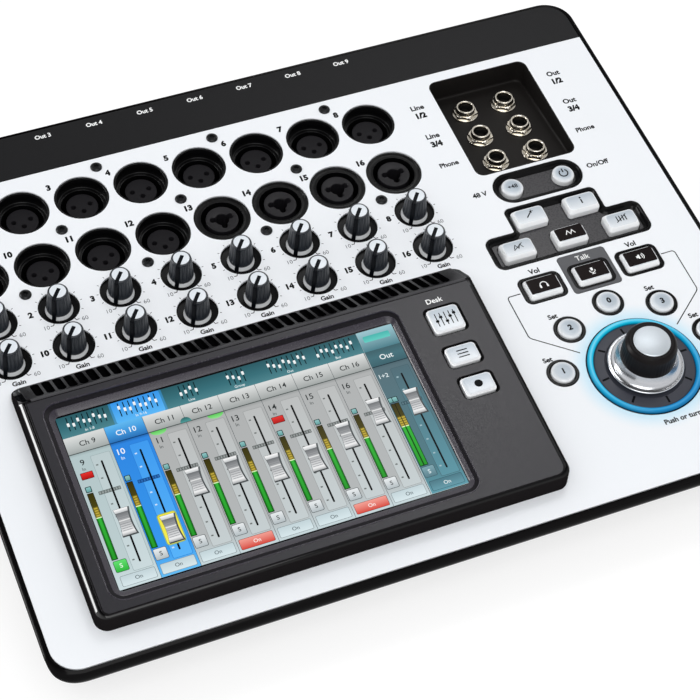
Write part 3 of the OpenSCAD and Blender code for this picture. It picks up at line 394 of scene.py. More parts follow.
def tint_round_dial(material):
    """The lit ring's light on the panel: the paint turns cyan with the nearness to the dial's middle, by six
    tenths as far as 22.5 mm out, just inside the ring, and not at all from 36 mm."""
    tree = material.node_tree
    place = add_node(tree, "TexCoord").outputs["Object"]
    away = add_node(tree, "VectorMath", {"operation": "DISTANCE", 1: on_panel((*dial, 0))}, {0: place})
    share = add_node(tree, "MapRange", {"interpolation_type": "SMOOTHSTEP", "From Min": 0.0225,
                                        "From Max": 0.036, "To Min": 0.6, "To Max": 0.0},
                     {"Value": away.outputs["Value"]})
    tinted(material, share.outputs[0], "#86d8f4")


tint_round_dial(panel_silver)
dress("silver_panel", panel_silver)


# Printing on the panel: channel numbers, gain scales, jack names and the lines that tie the keys to the
# dial. It is screen-printed ink, a few hundredths of a millimetre thick and slightly glossy.
glyph_cache = {}


def drawn_letters(words, weight):
    """Points and triangles of words as the built-in font fills them, drawn once and kept. The weight is the
    distance in ems by which the outlines are spread."""
    if (words, weight) not in glyph_cache:
        curve = bpy.data.curves.new("letters", "FONT")
        curve.body, curve.offset, curve.resolution_u = words, weight, 3
        carrier = bpy.data.objects.new("letters", curve)
        flat = bpy.data.meshes.new_from_object(carrier)
        points = np.zeros(3 * len(flat.vertices))
        flat.vertices.foreach_get("co", points)
        flat.calc_loop_triangles()
        triangles = np.zeros(3 * len(flat.loop_triangles), np.int32)
        flat.loop_triangles.foreach_get("vertices", triangles)
        glyph_cache[words, weight] = points.reshape(-1, 3), triangles.reshape(-1, 3)
        bpy.data.objects.remove(carrier)
        bpy.data.curves.remove(curve)
        bpy.data.meshes.remove(flat)
    return glyph_cache[words, weight]


def lettering(words, x, y, height, weight=0.02):
    """Flat letters centred on a point: capitals have the height, and their middle line runs through the
    point."""
    points, triangles = drawn_letters(words, weight)
    low, high = points.min(0), points.max(0)
    capital = drawn_letters("H", weight)[0][:, 1]
    foot, head = capital.min(), capital.max()
    middle = [(low[0] + high[0]) / 2, (foot + head) / 2, 0]
    return (points - middle) * (height / (head - foot)) + [x, y, 0], [triangles]


def stroke(path, width):
    """A flat ribbon: the path's points moved half the width to either side, along the mean of their edges'
    normals."""
    path = np.asarray(path, float)
    ahead = np.diff(path, axis=0)
    ahead /= np.linalg.norm(ahead, axis=1, keepdims=True)
    mean = np.concatenate([ahead, ahead[-1:]]) + np.concatenate([ahead[:1], ahead])
    mean /= (mean * mean).sum(1, keepdims=True) / 2
    side = np.stack([-mean[:, 1], mean[:, 0]], -1) * width / 2
    points = np.concatenate([path - side, path + side])
    count = len(path)
    here = np.arange(count - 1)
    faces = np.stack([here, here + 1, here + 1 + count, here + count], -1)
    return np.pad(points, ((0, 0), (0, 1))), [faces]


def spot(x, y, radius, count=28):
    """A filled circle as one flat face."""
    return turned((x, y), [(radius, 0)], count)[0], [np.arange(count)[None]]


def bent(x, y, radius, start, stop, count=24):
    """Points on an arc about a centre, between two angles in degrees."""
    angle = np.radians(np.linspace(start, stop, count))
    return np.stack([x + radius * np.cos(angle), y + radius * np.sin(angle)], -1)


def moved(shell, x=0.0, y=0.0, z=0.0):
    """A shell in another place."""
    return shell[0] + [x, y, z], shell[1]


ink_black = finish("black_screen_ink", "#08090b", 0.45, 0.6, 0.003, shine=0.08)
ink_grey = finish("grey_screen_ink", "#585c61", 0.45, 0.6, 0.003)
ink_white = finish("white_screen_ink", "#eceded", 0.5, 0.6, 0.003)
bold, plain = 0.06, 0.035
words = [(str(8 * row + k + 1), x + dx, y + dy, size, bold)
         for rows, dx, dy, size in ((socket_rows, -13, 10.5, 3.5), (knob_rows, -13.4, -0.4, 3.3))
         for row, y in enumerate(rows) for k, x in enumerate(column_x)]
words += [("Gain", x + 0.3, knob_rows[1] - 11.9, 2.5, plain) for x in column_x]
for side, name in ((-1, "Line"), (1, "Out")):
    words += [(text, control_x + side * away, y, size, weight) for text, away, y, size, weight in (
        (name, 37, 237.8, 3.1, plain), ("1/2", 37, 232.5, 3.6, bold), (name, 37, 218.4, 3.1, plain),
        ("3/4", 37, 213.1, 3.6, bold), ("Phone", 36.5, 199.2, 2.9, plain), ("Vol", 25.1, 126.0, 2.9, plain))]
words += [(text, control_x + x, y, size, plain) for text, x, y, size in (
    ("48 V", -30.2, 176.6, 2.9), ("On/Off", 32.4, 176.6, 2.9), ("Push or turn", 3.7, 29.1, 2.7),
    ("Set", -28.0, 99.0, 2.7), ("Set", -40.6, 77.4, 2.7), ("Set", 21.9, 99.6, 2.7), ("Set", 34.3, 78.6, 2.7))]
printing = [(ink_black, lettering(*word)) for word in words]
printing += [(ink_white, lettering(f"Out {k + 1}", x, 277.8, 2.5, plain)) for k, x in enumerate(output_x)]
for place in knob_places:
    for end, dx in (("10", -8.4), ("60", 9.3)):
        printing.append((ink_grey, moved(lettering(end, dx, -9.6, 2.1, 0.0), *place)))
    for tick in np.radians(np.linspace(232, -52, 11)[1:-1]):
        aim = np.array([np.cos(tick), np.sin(tick)])
        printing.append((ink_grey, stroke(np.array([[10.2], [11.1]]) * aim + place, 0.34)))
    for side in (-1, 1):
        elbow = np.array([(6.7, -9.3), (5.3, -9.3), (4.6, -7.9)])[::side]
        printing.append((ink_black, stroke(elbow * [side, 1] + place, 0.36)))
bracket = np.array([(36.5, 115.8), (42.2, 115.8), (43.0, 115.2), (43.3, 114.3), (43.3, 92.4), (43.0, 91.4),
                    (42.4, 90.6), (24.8, 76.2)])
for side in (-1, 1):
    printing.append((ink_black, stroke(bracket[::side] * [side, 1] + [control_x, 0], 0.5)))
add_piece("panel_printing", [(ink, moved(shell, z=0.03)) for ink, shell in printing])


# Ports on the back: a round power inlet with one pin in a black liner, and two USB shells with gilded
# contacts. The shells are tin-plated steel; names and numbers are printed on the back plate in white.
tin_plate = finish("tin_plate", "#b4b6b8", 0.34, 2.0, 0.004, 0.04, metal=1.0)
liner_black = finish("black_PBT_liner", "#101113", 0.5, 1.0, 0.008, shine=0.2)
inlet_x, usb_x = 135.43, 101.43
inlet = inlet_x, 0
inlet_lip = eased([(6.4, 1.2), (6.4, -1.0), (8.0, -1.0), (8.0, 4.0)], 0.3)
inlet_pin = eased([(0.5, 2.0), (1.2, 2.3), (1.2, 11)], 0.25)
ports = [(tin_plate, loft(turned(inlet, inlet_lip))),
         (liner_black, loft(turned(inlet, [(6.35, 11), (6.4, 1.1)]), bottom=True)),
         (pin_gold, loft(turned(inlet, inlet_pin, 32), bottom=True))]
for y in (-9, 9):
    shell, liner = (box(usb_x, y, *size, 0.6, 4) for size in ((14, 7), (12.4, 5.4)))
    tongue = box(usb_x, y - 1.95, 10, 0.9, 0.15, 3)
    ports += [(tin_plate, loft(carried(shell, [(-0.8, 1.2), (-0.8, -0.6), (0, -0.6), (0, 4)], 0.18))),
              (liner_black, loft(carried(liner, [(0, 12), (0, 1.0)]), bottom=True)),
              (liner_black, loft(carried(tongue, [(-0.12, 1.0), (0, 1.15), (0, 12)], 0.05), bottom=True))]
    for x in (-3.5, -1, 1, 3.5):
        contact = box(usb_x + x, y - 1.48, 1.0, 0.1, 0.03, 2)
        ports.append((pin_gold, loft(carried(contact, [(0, 1.5), (0, 9)]), bottom=True)))
add_piece("back_ports", ports, "rear_ports", behind)
back_words = [(str(k + 1), x, 15.2, 3.4) for k, x in enumerate(output_x)]
back_words += [("USB", usb_x, 16.2, 2.8), ("Power", inlet_x, 13.0, 2.8)]
mirrored = [(lettering(name, 0, 0, size, 0.03), x, y) for name, x, y, size in back_words]
add_piece("back_printing", [(ink_white, (points * [-1, 1, 1] + [x, y, -0.03], faces))
                            for (points, faces), x, y in mirrored], place=behind)


# Microphone sockets: twelve round shells of black nylon hung under the deck, each with a ledge and a gap
# for the plug. The contact block inside is a dark grey moulding with three round holes.
shell_nylon = finish("black_nylon", "#080809", 0.24, 1.0, 0.006, shine=0.2)
contact_grey = finish("dark_grey_nylon", "#1b1a1d", 0.45, 0.8, 0.01, shine=0.12)
mic_places = [(x, socket_rows[0]) for x in column_x] + [(x, socket_rows[1]) for x in column_x[:4]]
mic_shell = eased([(12.71, -4), (12.71, -0.3), (11.81, -0.3), (11.81, -6.5), (10.0, -6.5), (10.0, -18)],
                  [0.3, 0.3, 0.5, 0.35])
add_piece("mic_shells", [(shell_nylon, loft(turned(place, mic_shell), top=True)) for place in mic_places],
          "xlr_shells")


def cut_sheet(outer, holes, height=0.0):
    """A flat face inside the outer loop and outside the holes, cut into triangles that keep every edge of
    the loops."""
    loops = [np.asarray(loop, float)[:, :2] for loop in (outer, *holes)]
    starts = np.cumsum([0] + [len(loop) for loop in loops])
    found = delaunay_2d_cdt([Vector(p) for p in np.concatenate(loops).tolist()], [],
                            [list(range(a, b)) for a, b in zip(starts, starts[1:])], 2, 1e-6)
    points, faces = np.array([(*p, height) for p in found[0]]), np.array(found[2])
    a, b, c = points[faces].transpose(1, 0, 2)
    flip = np.cross(b - a, c - a)[:, 2] < 0
    faces[flip] = faces[flip][:, ::-1]
    return points, [faces]


def contact_block(x, y):
    """A round block with an eased edge, a flat face cut by three holes, and the holes' walls going down."""
    top = -6.5
    rim = turned((x, y), eased([(7.6, -18), (7.6, top), (7.1, top)], 0.3))
    holes = [turned((x + dx, y + dy), [(1.3, top), (1.2, top - 0.2), (1.2, -13)], 24)
             for dx, dy in ((-4.1, 0.5), (4.1, 0.5), (0, -3))]
    return [loft(rim), cut_sheet(rim[-1], [hole[0] for hole in holes], top),
            *[loft(hole, top=True) for hole in holes]]


blocks = [(contact_grey, shell) for place in mic_places for shell in contact_block(*place)]
add_piece("mic_contact_blocks", blocks, "xlr_inserts")


# Combined sockets: the four right-hand inputs of the front row take either plug. One black moulding with a
# flat ring, the plug's gap and a round block whose centre hole runs into three lobes.
combo_grey = finish("charcoal_nylon", "#1a191c", 0.4, 0.8, 0.01, shine=0.2)


def combined_socket(*centre):
    """Ring: its section spun about the axis. Block: rows from the rim to the lobed hole, whose radius at
    each angle is the farthest of the jack hole and the three contact circles."""
    steps, jack_hole, contact = 96, 3.3, 1.5
    angle = round_angles(steps)
    ring = eased([(13.21, -4), (13.21, -0.5), (12.31, -0.5), (12.31, -1.2), (10.5, -1.2), (10.4, -0.9),
                  (10.1, -0.9), (10.0, -1.4), (10.0, -14)], [0.2, 0.2, 0.2, 0.15, 0.08, 0.08, 0.1])
    x, y = np.array([(-4.2, 0.8), (4.2, 0.8), (0, -3.8)]).T[:, :, None]
    far, across = x * np.cos(angle) + y * np.sin(angle), y * np.cos(angle) - x * np.sin(angle)
    reach = far + np.sqrt(np.maximum(contact ** 2 - across ** 2, 0))
    hole = np.maximum(np.where((abs(across) < contact) & (far > 0), reach, 0).max(0), jack_hole)
    rim = eased([(7.7, -14), (7.7, -1.2), (7.0, -1.2)], 0.35)
    face = [(0.45, -1.2), (0.2, -1.25), (0.0, -1.5), (0.0, -12)]
    block = np.concatenate([turned(centre, rim, steps), turned(centre, face, steps, hole)])
    return [(shell_nylon, loft(turned(centre, ring, steps), top=True)), (combo_grey, loft(block, top=True))]


add_piece("combined_sockets", [part for x in column_x[4:] for part in combined_socket(x, socket_rows[1])],
          "combo_sockets")


# Screws: twelve black oxide screws with six-lobed recesses hold the sockets to the panel,
# and four more go up through the floor of the tub into the top moulding's posts.
def screw_head(x, y, radius, height, flip=1):
    """Rows of a domed head spun about its axis, then a recess whose radius swings six times round."""
    head = eased([(radius, 0), (radius, 0.45 * height), (0.68 * radius, height), (0.5 * radius, height)],
                 [0.2, 0.25])
    drive = [(0.42 * radius, height), (0.40 * radius, height - 0.1), (0.38 * radius, 0.3 * height)]
    star = 0.06 * radius * np.cos(6 * round_angles(48))
    rows = np.concatenate([turned((x, y), head, 48), turned((x, y), drive, 48, star)])
    rows[..., 2] *= flip
    return loft(rows[:, ::flip], top=True)


oxide = finish("black_oxide_steel", "#131416", 0.34, 0.8, 0.008, metal=0.6)
screw_rows = (38.5, 251), (11.8, 219.6), (43.3, 188.7)
screws = [screw_head(panel_left + x + 58.2 * k, y, 2.8, 1.1) for x, y in screw_rows for k in range(4)]
add_piece("panel_screws", [(oxide, screw) for screw in screws], "case_screws")
posts = on_panel([(side * 163.03, y, 0) for side in (-1, 1) for y in (78.0, 178.0)]) * 1000 - [0, 0, 18]
add_piece("floor_screws", [(oxide, moved(screw_head(x, y, 2.7, 1.4, -1), z=z)) for x, y, z in posts],
          place=lambda points: points / 1000)


# Gain knobs: sixteen push-on knobs of dark rubberised plastic with eighteen flutes, a pale collar at the
# foot, a silver cap and a black pointer that runs from the cap down over the collar.
knob_slate = finish("soft_touch_slate", "#1f242b", 0.36, 0.7, 0.008)
knob_silver = finish("silver_cap_paint", "#d9dfe5", 0.3, 0.7, 0.004, 0.03, shine=0.6)
collar_grey = finish("pale_grey_acetal", "#dcdee0", 0.35, 0.8, 0.006, 0.03)
pointer_black = finish("black_pointer_moulding", "#090c11", 0.35, 0.6, 0.004, shine=0.08)


def gain_knob(x, y):
    """Body: a tapering profile spun with eighteen flutes, cosines of the angle that die out at both ends.
    Pointer: a bar's section swept from past the cap's middle over its edge, down the body and across the
    collar, its width and the height that it stands proud growing on the way."""
    steps, flute_count, flute_depth, aim = 144, 18, 0.42, np.radians(232)
    body = eased([(5.5, -0.6), (5.8, 0.9), (5.7, 1.8), (4.75, 11.2), (4.35, 11.8), (3.65, 11.8)],
                 [0.3, 0.4, 0.4, 0.2])
    fade = np.clip((11.3 - body[:, 1:]) / 0.6, 0, 1) * np.clip((body[:, 1:] - 0.9) / 0.9, 0, 1)
    flutes = -flute_depth * fade * (0.5 + 0.5 * np.cos(flute_count * round_angles(steps))) ** 1.5
    cap = eased([(3.75, 11.5), (3.75, 11.85), (3.4, 11.98), (0.5, 12.1)], [0.12, 0.3])
    collar = eased([(6.35, -2.1), (6.35, -1.75), (6.0, -1.2), (5.4, 0.3)], [0.25, 0.3])
    run = eased([(-1.4, 12.1), (3.75, 12.08), (4.95, 11.0), (5.9, 1.5), (5.95, 0.5), (6.4, -1.3),
                 (6.5, -2.08)], [0.3, 0.5, 0.4, 0.3, 0.3])
    way = np.gradient(run, axis=0)
    out = np.stack([-way[:, 1], way[:, 0]], -1) / np.linalg.norm(way, axis=1, keepdims=True)
    across = np.array([(-1, -0.4), (-0.92, 0.75), (0.0, 1.0), (0.92, 0.75), (1, -0.4)])
    wide = np.interp(run[:, :1], [3.75, 6.5], [0.88, 1.0])
    proud = np.interp(run[:, :1], [3.55, 5.0, 5.95, 6.4], [0.07, 0.4, 0.3, 0.12])
    radial = run[:, None] + out[:, None] * (proud * across[:, 1])[..., None]
    sideways = wide * across[:, 0]
    bar = np.stack([x + radial[..., 0] * np.cos(aim) - sideways * np.sin(aim),
                    y + radial[..., 0] * np.sin(aim) + sideways * np.cos(aim), radial[..., 1]], -1)
    return [(knob_slate, loft(turned((x, y), body, steps, flutes))),
            (knob_silver, loft(turned((x, y), cap, 48), top=True)),
            (collar_grey, loft(turned((x, y), collar))), (pointer_black, loft(bar[:, ::-1], True, True))]


for k, place in enumerate(knob_places):
    name = f"gain_knob_{k + 1:02d}"
    add_piece(f"{name}_turned", gain_knob(*place), name, body=name)


# Jacks: six threaded sleeves of nickel-plated brass, each held by a hexagon nut on a washer face.
# The plating is bright and slightly warm, and the plug hole is dark inside.
def on_tray(points):
    """The tray's floor: x from its middle, y up it from the front edge, z out of it."""
    return on_panel(tilted(points, (control_x, tray_front, -tray_depth), -tray_lean))


nickel = finish("bright_nickel_plate", "#d6d0c4", 0.16, 2.5, 0.006, 0.05, metal=1.0)
jack_dark = finish("jack_liner", "#0a0a0a", 0.5, 1.0, 0.005)
jack_places = [(side * 10.55, 12.4 + 18.6 * k) for k in range(3) for side in (-1, 1)]


def jack_nut(place):
    """A washer face, then a hexagon: its radius at each angle is the flat's distance over the cosine, cut
    by a cone at the top corners, and drawn in to the sleeve."""
    angle = round_angles(96)
    hexagon = 5.5 / np.cos((angle + np.pi / 6) % (np.pi / 3) - np.pi / 6)
    washer = eased([(6.5, 0.0), (6.5, 0.8), (5.0, 0.95)], 0.25)
    top = [(0.0, height) for height in (0.9, 2.0, 2.35, 2.6, 2.6)]
    lobes = np.stack([np.minimum(hexagon, most) for most in (9, 9, 5.95, 5.45, 4.3)])
    return [loft(turned(place, washer, 96)), loft(turned(place, top, 96, lobes))]


sleeve = eased([(4.3, 0.5), (4.3, 2.2), (5.1, 2.4), (4.8, 3.8), (4.55, 4.9), (3.75, 4.9), (3.5, 4.2),
                (3.5, 2.5)], [0.1, 0.25, 0.5, 0.3, 0.3, 0.2])
plug_hole = [(3.5, 2.6), (3.5, -8)]
add_piece("jack_sleeves", [part for place in jack_places for part in (
    (nickel, loft(turned(place, sleeve))), (jack_dark, loft(turned(place, plug_hole), top=True)))],
    "phone_jacks", on_tray)
add_piece("hexagon_nuts", [(nickel, shell) for place in jack_places for shell in jack_nut(place)],
          "jack_nuts", on_tray, crisp=30)


# Bezels: black frames let into the panel round the keys. The standby pill and the tee-shaped block are
# dished, the talk key sits on a grey plate, and the rest are plain raised rings. They are polished ABS,
# held from below.
bezel_gloss = finish("gloss_black_bezel", "#060607", 0.16, 3.0, 0.004, shine=0.11)
dish_grey = finish("satin_charcoal_dish", "#262529", 0.28, 1.0, 0.002, shine=0.45)
plate_grey = finish("grey_talk_plate", "#4b4c50", 0.45, 1.0, 0.008)
pill_y, talk_y = 175.7, 115.8
half_tee = [(40.4, 130.8), (40.4, 150), (23.8, 150), (23.8, 164.2)]
tee = traced([(control_x + side * x, y) for side in (1, -1) for x, y in half_tee[::side]],
             [4.5, 4.5, 1.6, 3.2, 3.2, 1.6, 4.5, 4.5])
pill = box(control_x, pill_y, 45.7, 18.3, 9.1, 16)
# square keys: middle, width and length; round keys: middle, radius and height
keys = {name: (control_x + x, y, 16.3, 10.6) for name, x, y in (
    ("assist", -13.5, 156.0), ("info", 13.5, 156.0), ("effect_mute", -27, 139.8), ("effect_select", 0, 139.8),
    ("mute_group", 27, 139.8))}
tee_keys, pill_keys = list(keys), ("phantom", "standby")
talk_keys = ("phones", -25.1), ("talk", 0), ("monitor", 25.1)
keys |= {name: (control_x + x, talk_y, 17, 11.6) for name, x in talk_keys}
arc_radius, arc_angles = 38, np.radians(90 + 38.5 * np.arange(2, -3, -1))
round_keys = {name: (dial[0] + arc_radius * np.cos(angle), dial[1] + arc_radius * np.sin(angle), 5.6, 1.85)
              for name, angle in zip(("user_1", "user_2", "reset", "user_3", "user_4"), arc_angles)}
arc_keys = list(round_keys)
round_keys |= {name: (control_x + x, pill_y, 5.4, 1.0) for name, x in zip(pill_keys, (-13.5, 13.5))}


def key_hole(name):
    """The opening round a key, 0.35 mm wider than the key on every side."""
    if name in keys:
        x, y, width, length = keys[name]
        return box(x, y, width + 0.7, length + 0.7, 1.6, 5)
    x, y, radius, _ = round_keys[name]
    return box(x, y, 2 * radius + 0.7, 2 * radius + 0.7, 5.74, 9)


def dished(outline, names, rim, floor=-2.2):
    """A dished frame: the outline carried up its side, over the rim and down to the dish, whose floor is
    cut for the keys; each opening's wall goes down inside."""
    rows = carried(outline, [(0, -1.2), (0, 0.3), (-rim, 0.3), (-rim - 0.9, -1.3), (-rim - 2.2, floor)],
                   [0.25, 0.3, 0.5])
    walls = [carried(key_hole(name), [(0, floor), (0, floor - 3)]) for name in names]
    return [(bezel_gloss, loft(rows)), (dish_grey, cut_sheet(rows[-1], [wall[0] for wall in walls], floor)),
            *[(deck_black, loft(wall)) for wall in walls]]


def ring_frame(outline, name, material=bezel_gloss, top=0.35, edge=0.45, cut=0.25, inner=None):
    """A flat frame with rounded edges from its outline to the key's opening, whose wall goes down inside,
    or to the foot of an inner frame that stands higher."""
    rows = carried(outline, [(0, -1.2), (0, top), (-edge, top)], cut)
    if inner:
        high = top + 0.25
        step = carried(inner, [(0, top), (0, high), (-0.5, high)], 0.2)
        mouth = carried(key_hole(name), [(0.45, high), (0, high), (0, -4)], 0.3)
        return [(material, loft(rows)), (material, cut_sheet(rows[-1], [step[0]], top)),
                (bezel_gloss, loft(step)), (bezel_gloss, cut_sheet(step[-1], [mouth[0]], high)),
                (bezel_gloss, loft(mouth))]
    mouth = carried(key_hole(name), [(0.45, top), (0, top), (0, -4)], 0.3)
    return [(material, loft(rows)), (material, cut_sheet(rows[-1], [mouth[0]], top)), (material, loft(mouth))]


bezels = dished(pill, pill_keys, 0.9) + dished(tee, tee_keys, 1.0)
for name in ("phones", "monitor"):
    bezels += ring_frame(box(*keys[name][:2], 21.2, 15, 3.5), name)
bezels += ring_frame(box(control_x, 118.2, 24.3, 22, 1.8), "talk", plate_grey, 0.3, 0.4, 0.2,
                     box(control_x, talk_y, 21.0, 14.6, 3.3))
bezels.append((ink_white, moved(lettering("Talk", control_x, 126.0, 2.8, 0.012), z=0.33)))
for name in arc_keys:
    bezels += ring_frame(box(*round_keys[name][:2], 14.7, 14.7, 7.34, 14), name)
add_piece("key_bezels", bezels, "button_bezels")


# Keys: moulded in translucent white silicone over hard caps; their edges and the fronts of their tops are
# painted paler than the rest, a painted glow. Four carry a dark window let into the top; the signs are
# laser-etched in black or white.
def stored_share(material, name, output="Fac"):
    """The output of a node that reads what a mesh's points keep under a name."""
    return add_node(material.node_tree, "Attribute", {"attribute_name": name}).outputs[output]


def store(piece, name, values):
    """Values kept on a piece's points, a number or a colour each; points after the last one get nought."""
    kept = np.zeros((len(piece.data.vertices), *values.shape[1:]), np.float32)
    kept[:len(values)] = values
    kind, field = ("FLOAT_COLOR", "color") if values.ndim == 2 else ("FLOAT", "value")
    piece.data.attributes.new(name, kind, "POINT").data.foreach_set(field, kept.ravel())


# milky plastic: the colour goes from the top's to a paler one by the painted glow share stored on the mesh,
# painted light on the edges and the front of the top
milky = finish("milky_key_plastic", "#a2aeb9", 0.3, 0.8, 0.004, 0.02, coat=0.2)
tinted(milky, stored_share(milky, "painted_glow_share"), "#f4f6f8")
window_brown = finish("smoked_window", "#120a0a", 0.3, 1.5, 0.003, shine=0.06)

# etched signs about a key's middle, as paths and widths: headphones, a microphone, a speaker, bars and the
# like
zigzag = [(-2.4, -1.0), (-1.2, 1.2), (0.0, -1.0), (1.2, 1.2), (2.4, -1.0)]
bars = 2.2 * np.arange(-2, 3)
sign_lines = {
    "phones": [(bent(0, -0.4, 1.7, 0, 180), 0.45), ([(-1.7, -0.3), (-1.7, -1.9)], 0.9),
               ([(1.7, -0.3), (1.7, -1.9)], 0.9)],
    "talk": [([(0, -0.2), (0, 1.5)], 1.2), (bent(0, 0.0, 1.4, 180, 360), 0.4), ([(0, -1.4), (0, -2.1)], 0.4),
             ([(-0.9, -2.1), (0.9, -2.1)], 0.4)],
    "monitor": [([(-2.0, 0), (-1.1, 0)], 1.2), ([(-1.1, 0), (-0.2, 0)], 2.4),
                (bent(-0.2, 0, 1.2, -50, 50), 0.4), (bent(-0.2, 0, 2.1, -50, 50), 0.4)],
    "effect_select": [(zigzag, 0.45)],
    "effect_mute": [(zigzag, 0.4), ([(-2.6, -1.7), (2.6, 1.9)], 0.4)],
    "assist": [([(-2.0, -1.6), (1.2, 1.6)], 0.6), ([(1.2, 0.6), (1.2, 2.6)], 0.35),
               ([(0.2, 1.6), (2.2, 1.6)], 0.35)],
    "info": [([(0, -1.8), (0, 0.7)], 0.7)],
    "mute_group": [*[([(x, -1.7), (x, 1.7)], 0.55) for x in (-2.2, -0.75, 0.75, 2.2)],
                   ([(-3.0, -2.0), (3.0, 2.0)], 0.4)],
    "standby": [(bent(0, -0.1, 2.1, 125, 415), 0.65), ([(0, 0.3), (0, 2.7)], 0.65)],
    "home": [*[([(x, -3.6), (x, 3.6)], 0.45) for x in bars],
             *[([(x - 0.75, y), (x + 0.75, y)], 1.3) for x, y in zip(bars, (-0.6, 1.2, -1.6, 0.6, 1.8))]],
    "menu": [([(-2.6, y), (2.6, y)], 0.55) for y in (-1.7, 0, 1.7)]}
signs = {name: [stroke(*line) for line in lines] for name, lines in sign_lines.items()}
signs["info"].append(spot(0, 1.6, 0.5))
signs |= {"record": [spot(0, 0, 1.9)], "phantom": [lettering("+48", 0, 0, 2.3)]}
signs |= {name: [lettering(name[5:] if "user" in name else "0", 0, 0, 3.1, 0.05)] for name in arc_keys}


def add_key(name, parts, share, place=None):
    """A key as a piece on its own body, with the share of painted glow stored on its points: as given for the
    first shell, none for the rest."""
    node = f"user_button_{name[-1]}" if name in arc_keys and name != "reset" else f"{name}_button"
    store(add_piece(f"{node}_cap", parts, node, place, node), "painted_glow_share", share)


def cap_rows(x, y, width, length, top, slim, crown=0.15):
    """Rows of a keycap: the foot's outline, then outlines between it and the slimmer top as the height goes
    up a curve, then the top drawn in over a low crown. Also gives each point's share of painted glow: one
    on the flanks, and on the top growing towards the front, a painted light standing in for the lamp below
    shining through."""
    foot = box(x, y, width, length, 1.7, 6)[0]
    head, normals = box(x, y, width - slim[0], length - slim[1], 2.1, 6)
    path = eased([(0, -4.5), (0, 0.3), (0.8, top - 0.3), (1, top)], [0.3, 0.3])
    rows = raised(foot + path[:, :1, None] * (head - foot), path[:, 1])
    dome = [(-0.35, top + 0.5 * crown), (-0.9, top + 0.8 * crown), (-1.6, top + crown)]
    rows = np.concatenate([rows, carried((head, normals), dome)])
    # painted glow: full on the flanks, and on the top paler towards the front
    share = np.concatenate([np.ones(len(path) - 1), [0.9, 0.45, 0.12, 0.0]])[:, None]
    share = np.maximum(share, 0.3 + 0.7 * (y - rows[..., 1]) / length)
    return rows, np.concatenate([share.ravel(), share[-1]])


for name, (x, y, width, length) in keys.items():
    dark = name in ("phones", "talk", "monitor", "effect_select")
    rows, share = cap_rows(x, y, width, length, 2.2, (1.6, 2.4))
    parts = [(milky, loft(rows, top=True))]
    if dark:
        window = box(x, y + 0.25, width - 2.3, length - 3.4, 0.6, 4)
        pane = carried(window, [(0, 1.8), (0, 2.47), (-0.4, 2.47)], 0.12)
        parts.append((window_brown, loft(pane, top=True)))
    ink, level = (ink_white, 2.5) if dark else (ink_black, 2.38)
    add_key(name, parts + [(ink, moved(sign, x, y + 0.25, level)) for sign in signs[name]], share)

cap_steps = 56
for name, (x, y, radius, top) in round_keys.items():
    profile = eased([(radius, -4.5), (radius, top - 0.5), (radius - 1.6, top - 0.1), (1.0, top)],
                    [1.1, 0.9], 7)
    # painted glow: each round key is painted paler towards its rim
    share = np.repeat(np.clip((profile[:, 0] - 2.6) / (radius - 2.6), 0, 1) ** 1.5, cap_steps)
    add_key(name, [(milky, loft(turned((x, y), profile, cap_steps), top=True)),
                   *[(ink_black, moved(sign, x, y, top + 0.03)) for sign in signs[name]]], share)


# Main dial's base: a moulded disc with short ticks, a black seat and, round it, a ring of clear acrylic lit
# from below by blue lamps, so that it glows and tints the panel.
dial_grey = finish("charcoal_dial_face", "#383a43", 0.42, 0.8, 0.008, shine=0.35)
tick_black = finish("engraved_tick", "#0e0f12", 0.5, 0.8, 0.004, shine=0.05)
disc = eased([(23.15, -0.8), (23.15, 0.25), (22.7, 0.45), (18.4, 1.0), (18.1, 0.2), (5.4, 0.2), (5.4, -3)],
             [0.15, 0.2, 0.2, 0.1, 0.1])
seat = eased([(26.85, -0.8), (26.85, 0.15), (26.4, 0.15), (26.4, -0.8)], 0.12)
face = [(dial_grey, loft(turned(dial, disc, 120))), (rim_black, loft(turned(dial, seat, 120)))]
for tick in np.radians(94 + 45 * np.arange(8)):
    points, faces = stroke(np.array([[18.7], [22.1]]) * [np.cos(tick), np.sin(tick)] + dial, 1.05)
    points[:, 2] = 1.02 - (np.hypot(*(points[:, :2] - dial).T) - 18.4) * 0.128
    face.append((tick_black, (points, faces)))
add_piece("dial_face", face, "encoder_dial")


def lit_finish(name, colour, roughness, grain, depth, shine, stored, strength):
    """A lit thing under a clear surface: the light's colour is stored on the mesh and shines with a
    strength, and the surface over it keeps a sharp, weak gloss."""
    material = finish(name, colour, roughness, grain, depth, shine=shine)
    sockets = material.node_tree.nodes["Principled BSDF"].inputs
    material.node_tree.links.new(stored_share(material, stored, "Color"), sockets["Emission Color"])
    sockets["Emission Strength"].default_value = strength
    return material


ring_steps = 160
bead = np.radians(np.linspace(0, 180, 25))
ring_profile = np.concatenate([[(26.3, -1.0)], np.stack([24.8 + 1.5 * np.cos(bead), 1.5 * np.sin(bead)], -1),
                               [(23.3, -1.0)]])
acrylic = lit_finish("lit_blue_acrylic", "#04293f", 0.12, 2.0, 0.003, 0.15, "ring_light", 0.9)
glow = add_piece("glow_ring", [(acrylic, loft(turned(dial, ring_profile, ring_steps)))],
                 "encoder_light_ring")


